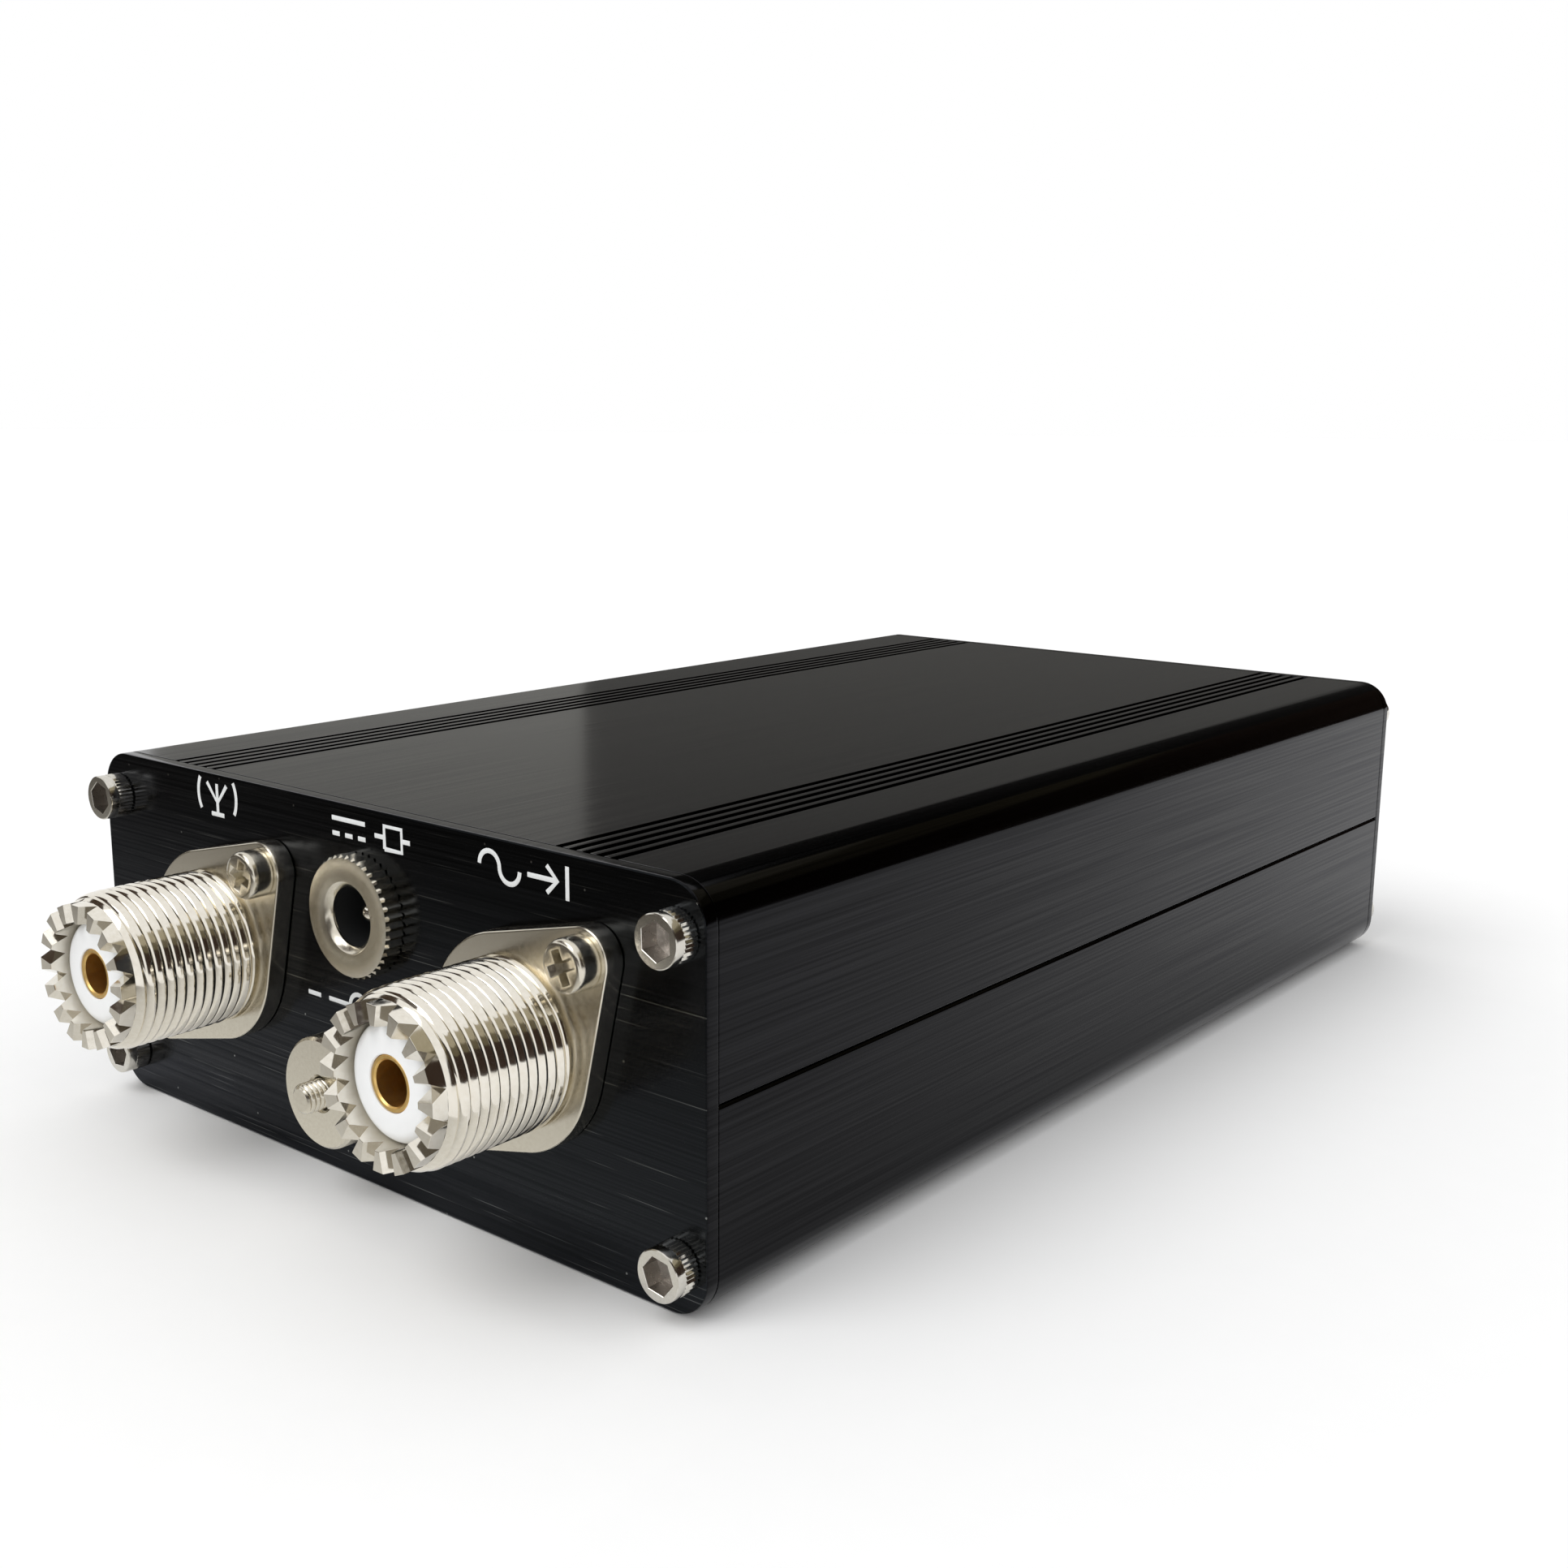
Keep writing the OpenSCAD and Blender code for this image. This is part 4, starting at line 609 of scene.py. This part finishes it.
# the upper ear (1) and the lower ear (-1) of each flange, and how far its screw is turned
PAN_TURNS = {("antenna", 1): 70, ("antenna", -1): 15, ("input", 1): 25, ("input", -1): 50}
pan_screws = [on_connector_panel(pan_screw(math.radians(turned)), SOCKETS[name] + ear * EAR_X,
                                 SOCKET_Z + ear * EAR_Z)
              for (name, ear), turned in PAN_TURNS.items()]
finished(joined(*pan_screws), "socket_pan_screws", satin_nickel, "case", "nickel_screw",
         "socket_screws")
finished(softened("socket_nuts", 0.15), "socket_hex_nuts", satin_nickel, "case", "nickel_screw",
         "socket_nuts")

# %% [markdown]
# ## Power jack and ground post
# The jack is held by a round nut with a knurled edge and a polished countersink. It is
# spun with four columns a tooth, and the columns between the tips are pulled in.

# %% Ring nut
JACK_X, JACK_Z = 0.4, 27.6
RING_TEETH = 40
RING_NOTCH = (0.0, 0.035, 0.07, 0.035)


def ring_nut():
    rim, face = 6.05, 2.0
    steps = len(RING_NOTCH) * RING_TEETH
    bm = spun([(4.05, 0.0), (5.7, 0.0), (rim, 0.12), (rim, 1.66), (5.76, face), (3.56, face),
               (3.48, 1.97), (2.92, 1.42), (2.9, 1.36), (2.9, 1.2), (4.05, 1.2), (4.05, 0.0)],
              steps)
    for v in bm.verts:
        r = math.hypot(v.co.x, v.co.y)
        column = round(math.atan2(v.co.y, v.co.x) / (2 * math.pi / steps)) % len(RING_NOTCH)
        if r > rim - 0.05:
            v.co.xy *= 1 - RING_NOTCH[column]
    return bm


finished(on_connector_panel(ring_nut(), JACK_X, JACK_Z), "jack_ring_knurled", satin_nickel,
         "case", "nickel_plate", "jack_ring_nut")

# %% [markdown]
# The ground post is a thin stud with a flat thumb nut, which turns and travels along the
# stud as it is unscrewed. So the nut and the washer behind it ride on bodies of their own,
# and the nut's bore stays just clear of the stud's thread.

# %% Thumb nut, stud, hexagon nut and washer
POST_Z = 11.05
THUMB_COLUMNS = 240
THUMB_KNURL = 0.05
STUD_R, STUD_PITCH, STUD_DEPTH, STUD_FOOT, STUD_END, STUD_TIP_R = 1.5, 0.5, 0.28, -2.1, 7.9, 1.1


def thumb_nut():
    rim, back, front, bore = 5.5, 2.5, 5.7, 1.62
    bm = spun([(bore, back), (5.2, back), (rim, back + 0.3), (rim, front - 0.3), (5.22, front),
               (1.9, front), (bore, front - 0.28), (bore, back)], THUMB_COLUMNS)
    for v in bm.verts:
        column = round(math.atan2(v.co.y, v.co.x) / (2 * math.pi / THUMB_COLUMNS)) % 2
        if math.hypot(v.co.x, v.co.y) > rim - 0.01 and column:
            v.co.xy *= (rim - THUMB_KNURL) / rim
    return bm


def stud():
    thread = helix(STUD_R, STUD_PITCH, STUD_DEPTH, STUD_FOOT, STUD_END, 48)
    thread = trimmed(thread, STUD_END - 0.5, STUD_R, STUD_END, STUD_TIP_R)
    end = spun([(STUD_TIP_R, STUD_END), (0.0, STUD_END)], 48)
    # the head and its cross recess, inside the case, are those of the CAD model
    head = softened("ground_stud", 0.05)
    bmesh.ops.bisect_plane(head, geom=head.verts[:] + head.edges[:] + head.faces[:], dist=1e-5,
                           plane_co=(0, 2.0 - PANEL_FACE, 0), plane_no=(0, -1, 0),
                           clear_outer=True)
    return joined(on_connector_panel(joined(thread, end), 0, POST_Z), head)


finished(on_connector_panel(thumb_nut(), 0, POST_Z), "ground_thumb_nut_plated", satin_nickel,
         "thumb_nut", "nickel_plate", "ground_thumb_nut")
finished(stud(), "ground_stud_threaded", satin_nickel, "case", "nickel_screw", "ground_stud")
finished(softened("ground_hex_nut", 0.15), "ground_hex_nut_plated", satin_nickel,
         "case", "nickel_screw", "ground_hex_nut")
finished(softened("ground_washer", 0.08), "ground_washer_plated", satin_nickel,
         "clamp_washer", "nickel_screw", "ground_washer")

# %% [markdown]
# ## Screen print
# Small white signs mark the connectors. Ink could be drawn in the panel's material, but
# strokes in geometry stay sharp at any distance. Each sign is a set of strokes: a curve
# with a round section is made a mesh, pressed almost flat and laid on the panel.

# %% Signs as strokes, in millimetres on the panel (x, z)
def arc(x, z, r, start, end, steps=16):
    angles = [math.radians(start + (end - start) * i / steps) for i in range(steps + 1)]
    return [(x + r * math.cos(a), z + r * math.sin(a)) for a in angles]


SIGNS = {
    "antenna_sign": [
        [(-22.9, 33.8), (-22.9, 37.0)], [(-24.6, 37.0), (-22.9, 35.0), (-21.2, 37.0)],
        [(-24.0, 33.8), (-21.8, 33.8)],
        arc(-22.9, 35.8, 3.3, 150, 210), arc(-22.9, 35.8, 3.3, -30, 30)],
    "supply_sign": [
        [(-3.9, 36.4), (1.1, 36.4)], [(-3.9, 34.9), (-2.8, 34.9)], [(-1.95, 34.9), (-0.85, 34.9)],
        [(0.0, 34.9), (1.1, 34.9)], [(2.5, 35.6), (3.9, 35.6)],
        [(3.9, 34.5), (3.9, 36.7), (6.4, 36.7), (6.4, 34.5), (3.9, 34.5)],
        [(6.4, 35.6), (7.6, 35.6)]],
    "input_sign": [
        arc(18.4, 35.4, 1.3, 180, 0) + arc(21.0, 35.4, 1.3, 180, 360),
        [(23.3, 35.4), (26.9, 35.4)], [(25.7, 36.6), (27.0, 35.4), (25.7, 34.2)],
        [(28.2, 33.9), (28.2, 36.9)]],
    "polarity_sign": [
        [(-8.9, 17.9), (-6.9, 17.9)], [(-5.6, 17.9), (-2.3, 17.9)], arc(-1.0, 17.9, 1.3, 40, 320),
        [(-0.6, 17.9), (4.6, 17.9)], arc(-0.7, 17.9, 0.28, 0, 360),
        [(6.0, 17.9), (8.0, 17.9)], [(7.0, 16.9), (7.0, 18.9)]],
}
print(len(SIGNS), "signs")

# %% Printing the signs
STROKE = 0.23
PRINT_T = 0.03


def printed(name, strokes):
    curve = bpy.data.curves.new(name, "CURVE")
    curve.dimensions = "3D"
    curve.bevel_depth = STROKE
    curve.bevel_resolution = 2
    curve.use_fill_caps = True
    for stroke in strokes:
        spline = curve.splines.new("POLY")
        spline.points.add(len(stroke) - 1)
        for point, (x, z) in zip(spline.points, stroke):
            point.co = (x, 0, z, 1)
    drawn = bpy.data.objects.new(name, curve)
    bpy.context.scene.collection.objects.link(drawn)
    bm = bmesh.new()
    bm.from_mesh(drawn.evaluated_get(bpy.context.evaluated_depsgraph_get()).to_mesh())
    bpy.data.objects.remove(drawn)
    bmesh.ops.scale(bm, vec=(1, PRINT_T / STROKE, 1), verts=bm.verts)
    bmesh.ops.translate(bm, vec=(0, -PANEL_FACE, 0), verts=bm.verts)
    return finished(bm, name, white_print, "case", "white_plastic")


for name, strokes in SIGNS.items():
    printed(name, strokes)

# %% [markdown]
# ## The display side
# The other panel has a window with a small dark display behind a clear pane. Both are flat
# sheets, so copies of the CAD solids with broken edges are enough; what matters is that the
# pane lets light through and carries a trace of smears.

# %% Pane and glass
# clear acrylic: almost invisible, with a faint gloss
clear_pane, tree, shader, place = new_finish("acrylic_pane", IOR=1.49, Transmission_Weight=1.0,
                                             Base_Color=hex_colour("#f4f6f7"))
haze = add_node(tree, "TexNoise", {"Vector": place}, {"Scale": PER_MM / 3})
smear = add_node(tree, "MapRange", {"Value": haze.outputs[0]}, {"To Min": 0.02, "To Max": 0.06})
tree.links.new(smear.outputs[0], shader.inputs["Roughness"])
# unlit display glass: blue-black and smooth
dark_glass = moulded("display_glass_dark", "#0d1116", "#090c10", 0.12, 2.0, 0.02)
finished(softened("display_pane", 0.1), "display_pane_clear", clear_pane, "case", "clear_pane",
         "display_pane")
finished(softened("display_glass", 0.1), "display_glass_dark", dark_glass, "case", "dark_glass",
         "display_glass")

# %% [markdown]
# Three small push buttons and a larger latching one stand beside the window. A button is
# a turned cap with a soft edge and a shallow dish for the fingertip, on a stem that goes
# back to its switch, so it still reaches the switch when it is pressed. Its size and place
# come from the CAD node that it replaces.

# %% Buttons
BUTTON_EDGE, STEM_R, CAP_BACK = 0.5, 1.2, -4.0


def push_button(node, name, dish):
    low, high = (Vector(corner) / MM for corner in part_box(node))
    r = (high.z - low.z) / 2
    x, z, length = (low.x + high.x) / 2, (low.z + high.z) / 2, high.y - PANEL_FACE
    edge = [(r - BUTTON_EDGE + BUTTON_EDGE * math.cos(a),
             length - BUTTON_EDGE + BUTTON_EDGE * math.sin(a))
            for a in (math.radians(15 * i) for i in range(7))]
    middle = [(0.7 * r, length - 0.2 * dish), (0.4 * r, length - 0.75 * dish),
              (0.0, length - dish)]
    stem = [(STEM_R, low.y - PANEL_FACE), (STEM_R, CAP_BACK), (r, CAP_BACK)]
    bm = on_display_panel(spun(stem + edge + middle, 64), x, z)
    return finished(bm, name, black_nylon, node, "black_plastic", node)


for node in ("tune_button", "auto_button", "bypass_button"):
    push_button(node, f"{node}_cap", 0.25)
push_button("power_button", "power_button_cap", 0.35)

# %% [markdown]
# ## Inside the case
# The inner pieces are out of sight while the case is closed, but the model can be taken
# apart, so each gets the finish that such a part has. Their CAD shapes are right, so they
# stay, and only their materials change.

# %% Finishes and nodes of the inner parts
INNER = {
    # solder mask on woven glass: a smooth green or blue gloss
    "fibreglass_green_mask": ("#1f6a43", "#175637", 0.35, 0.8, ["main_board"]),
    "fibreglass_blue_mask": ("#24508c", "#1c4276", 0.35, 0.8, ["display_module"]),
    # moulded polyester: an even satin black
    "relay_case_pbt": ("#26272a", "#1d1e20", 0.5, 0.3,
                       ["inductor_relays", "capacitor_relays", "bypass_relay"]),
    # pressed iron powder under a red coat: matt, with a grain
    "iron_powder_red": ("#a3342a", "#86271f", 0.6, 0.25, ["toroid_cores"]),
    # fired ferrite: dark grey like slate
    "ferrite_sintered": ("#3c3d40", "#303134", 0.55, 0.25, ["sensor_core"]),
    # dipped epoxy: ochre with a soft gloss
    "capacitor_epoxy": ("#b98a3a", "#a3762c", 0.4, 0.5, ["tuning_capacitors"]),
    # moulded epoxy: a fine matt black
    "chip_epoxy": ("#1e1f21", "#17181a", 0.6, 0.2, ["controller_chip"]),
    # shrunk sleeve: a slightly blue, glossy black
    "can_sleeve_pvc": ("#22262c", "#1a1d22", 0.3, 0.8, ["filter_capacitors"]),
    # moulded nylon: dark with a dry sheen, or off-white
    "switch_nylon": ("#242526", "#1c1d1e", 0.5, 0.3,
                     ["button_switches", "power_switch", "jack_body"]),
    "socket_nylon": ("#e4e3dc", "#d6d5ce", 0.5, 0.4, ["ribbon_socket"]),
}
METAL = {"jack_pin": bright_nickel, "jack_sleeve_tab": tinned_steel, "ground_lug": tinned_steel,
         "voltage_regulator": tinned_steel, "display_pillars": satin_nickel,
         "display_screws": dull_nickel}


def refinished(node, finish):
    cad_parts[node].data.materials.clear()
    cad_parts[node].data.materials.append(finish)


for name, (colour, shade, roughness, grain_mm, nodes) in INNER.items():
    finish = moulded(name, colour, shade, roughness, grain_mm)
    for node in nodes:
        refinished(node, finish)
for node, finish in METAL.items():
    refinished(node, finish)
print(len(INNER), "inner finishes")

# %% [markdown]
# Wires and windings are round, but their solids have six sides. A smoothed copy with one
# level of subdivision is round enough, and it keeps the route. The ribbon is flat and only
# gets smooth shading.

# %% Wires, windings and the ribbon
# soft plastic sleeves: even colours with a dull gloss
SOFT = {
    "antenna_wire": ("white_wire", "#dcdcd8", "#cfcfca"),
    "input_wire": ("white_wire", "#dcdcd8", "#cfcfca"),
    "supply_wire": ("red_wire", "#b02a22", "#98221b"),
    "return_wire": ("black_wire", "#1d1d1e", "#151516"),
    "ground_wire": ("green_wire", "#2c7a3f", "#236634"),
    "display_ribbon": ("grey_ribbon", "#8d8f92", "#7c7e81"),
    "toroid_windings": ("enamelled_copper", None, None),
    "air_coils": ("enamelled_copper", None, None),
}
for node, (slot, colour, shade) in SOFT.items():
    finish = moulded(f"{node}_sleeve", colour, shade, 0.4, 0.6) if colour else enamelled_copper
    piece = finished(merged(node), f"{node}_smooth", finish, "case", slot, node)
    if node != "display_ribbon":
        piece.modifiers.clear()
        rounding = piece.modifiers.new("rounding", "SUBSURF")
        rounding.levels = rounding.render_levels = 1

# %% [markdown]
# ## Studio
# The object stands on white in soft light. A white world lights everything evenly, and one
# broad sun from the front left gives the shadows a direction. The world is a little dimmer
# as a light than as a background, so that white PTFE doesn't clip.

# %% World and sun
AMBIENT, SUN = 0.85, 1.0
scene = bpy.context.scene
scene.view_settings.view_transform = "Standard"
world = bpy.data.worlds.new("white_studio")
scene.world = world
world.use_nodes = True
tree = world.node_tree
path = add_node(tree, "LightPath")
seen = add_node(tree, "Math", {0: path.outputs["Is Camera Ray"], 1: path.outputs["Is Glossy Ray"]},
                operation="MAXIMUM")
seen = add_node(tree, "Math", {0: seen.outputs[0], 1: path.outputs["Is Transmission Ray"]},
                operation="MAXIMUM")
level = add_node(tree, "MapRange", {"Value": seen.outputs[0]}, {"To Min": AMBIENT, "To Max": 1.0})
sky = tree.nodes["Background"]
sky.inputs["Color"].default_value = (1, 1, 1, 1)
tree.links.new(level.outputs[0], sky.inputs["Strength"])

sun = bpy.data.lights.new("soft_sun", "SUN")
sun.energy = SUN
sun.angle = math.radians(40)
lamp = bpy.data.objects.new("soft_sun", sun)
lamp.rotation_euler = (math.radians(38), 0, math.radians(-20))
scene.collection.objects.link(lamp)
print("world at", AMBIENT, "and sun at", SUN)

# %% [markdown]
# A large pale floor catches the shadows. It is a disc, so that it has no corner in any
# view, and it lies a hair below the case, so that the two don't share a plane.

# %% Floor
FLOOR_R, FLOOR_DROP = 6.0, 0.0001
# uncoated paper: a bright, matt white
paper, tree, shader, place = new_finish("white_paper_floor", Roughness=0.9, Specular_IOR_Level=0.1)
fibre = add_node(tree, "TexNoise", {"Vector": place}, {"Scale": PER_MM / 4})
tint = add_node(tree, "Mix", {0: fibre.outputs[0]},
                {6: hex_colour("#fafafa"), 7: hex_colour("#fcfcfc")}, data_type="RGBA")
tree.links.new(tint.outputs[2], shader.inputs["Base Color"])


def staged(bm, name, finish):
    """A thing of the studio, in metres; it isn't part of the object."""
    mesh = bpy.data.meshes.new(name)
    bm.to_mesh(mesh)
    bm.free()
    mesh.materials.append(finish)
    thing = bpy.data.objects.new(name, mesh)
    scene.collection.objects.link(thing)
    return thing


bm = bmesh.new()
bmesh.ops.create_circle(bm, cap_ends=True, radius=FLOOR_R, segments=96)
bmesh.ops.translate(bm, vec=(0, 0, -FLOOR_DROP), verts=bm.verts)
staged(bm, "floor", paper)
print("the floor is", 2 * FLOOR_R, "m wide")

# %% [markdown]
# Black gloss and bright nickel show what stands around them, and in an all-white studio
# they would look grey and flat. So curved flags stand about the object, paler to the left,
# grey behind and dark brown to the right, and a mat that darkens towards the viewer lies in
# front. Only reflections see them: they give no light and throw no shadow.

# %% Flags that only reflections see
def screen(bm, name, finish):
    thing = staged(bm, name, finish)
    thing.visible_camera = thing.visible_diffuse = thing.visible_shadow = False
    thing.visible_transmission = thing.visible_volume_scatter = False
    return thing


def flag(name, colour, start, end, low, high, radius=1.5):
    """A curved screen about the object; its angles run from +Y towards +X, in degrees."""
    cloth, *_ = new_finish(name, Roughness=1.0, Base_Color=hex_colour("#000000"),
                           Emission_Color=hex_colour(colour), Emission_Strength=1.0)
    bm = bmesh.new()
    first = math.radians(90 - start)
    foot = [bm.verts.new((radius * math.cos(first), radius * math.sin(first), z))
            for z in (low, high)]
    edge = bm.edges.new(foot)
    bmesh.ops.spin(bm, geom=foot + [edge], cent=(0, 0, 0), axis=(0, 0, 1),
                   angle=math.radians(start - end), steps=32)
    return screen(bm, name, cloth)


# each has a colour, the angles between which it stands, and its foot and top in metres
FLAGS = {
    "left_flag": ("#9b9a95", -62, -46.7, 0.0, 0.55),
    "back_flag": ("#5f5e5b", -46.7, 4, 0.0, 0.50),
    "upper_flag": ("#1e1d1b", -46.7, 4, 0.50, 1.55),
    "right_flag": ("#2d1f15", 4, 118, 0.0, 0.85),
    "high_flag": ("#5f5742", 4, 118, 0.85, 1.25),
    "upper_right_flag": ("#a59d87", 4, 118, 1.25, 2.1),
    "near_flag": ("#393028", 142, 185, 0.0, 0.65),
    "front_flag": ("#4b443c", 185, 275, 0.0, 0.48),
    # this one is seen only in the flanks of the teeth and the sides of the small hardware
    "upper_left_flag": ("#3a2c20", 200, 270, 0.9, 2.0),
}
for name, settings in FLAGS.items():
    flag(name, *settings)
print(len(FLAGS), "flags")

# %% Mat in front of the connector panel
MAT_HALF, MAT_MIDDLE = 0.5, (-0.445, -0.58, 0.0)
mat_cloth, tree, shader, place = new_finish("front_mat", Roughness=1.0, Emission_Strength=1.0,
                                            Base_Color=hex_colour("#000000"))
axes = add_node(tree, "SeparateXYZ", {"Vector": place})
nearness = add_node(tree, "MapRange", {"Value": axes.outputs["Y"]},
                    {"From Min": -0.165, "From Max": -0.080})
shade = add_node(tree, "Mix", {0: nearness.outputs[0]},
                 {6: hex_colour("#4a443c"), 7: hex_colour("#e8e7e3")}, data_type="RGBA")
tree.links.new(shade.outputs[2], shader.inputs["Emission Color"])
bm = bmesh.new()
bmesh.ops.create_grid(bm, x_segments=1, y_segments=1, size=MAT_HALF,
                      matrix=Matrix.Translation(MAT_MIDDLE))
print(screen(bm, "front_mat", mat_cloth).name)

# %% [markdown]
# ## Camera
# The camera's place was found by fitting the known sizes of the sockets and the case to
# their places in the picture: it stands low, to the right of the connector panel.

# %% Camera
EYE = (0.134832, -0.174302, 0.074708)
EYE_TURN, EYE_DIP, EYE_ROLL = (math.radians(angle) for angle in (39.080, 11.756, 0.474))
camera = bpy.data.cameras.new("camera")
camera.sensor_width = 36
camera.lens = 41.096
camera.clip_start = 0.01
eye = bpy.data.objects.new("camera", camera)
aim = (Matrix.Rotation(EYE_TURN, 4, "Z") @ Matrix.Rotation(math.pi / 2 - EYE_DIP, 4, "X")
       @ Matrix.Rotation(EYE_ROLL, 4, "Z"))
eye.matrix_world = Matrix.Translation(EYE) @ aim
scene.collection.objects.link(eye)
scene.camera = eye
print("lens of", camera.lens, "mm at", EYE)
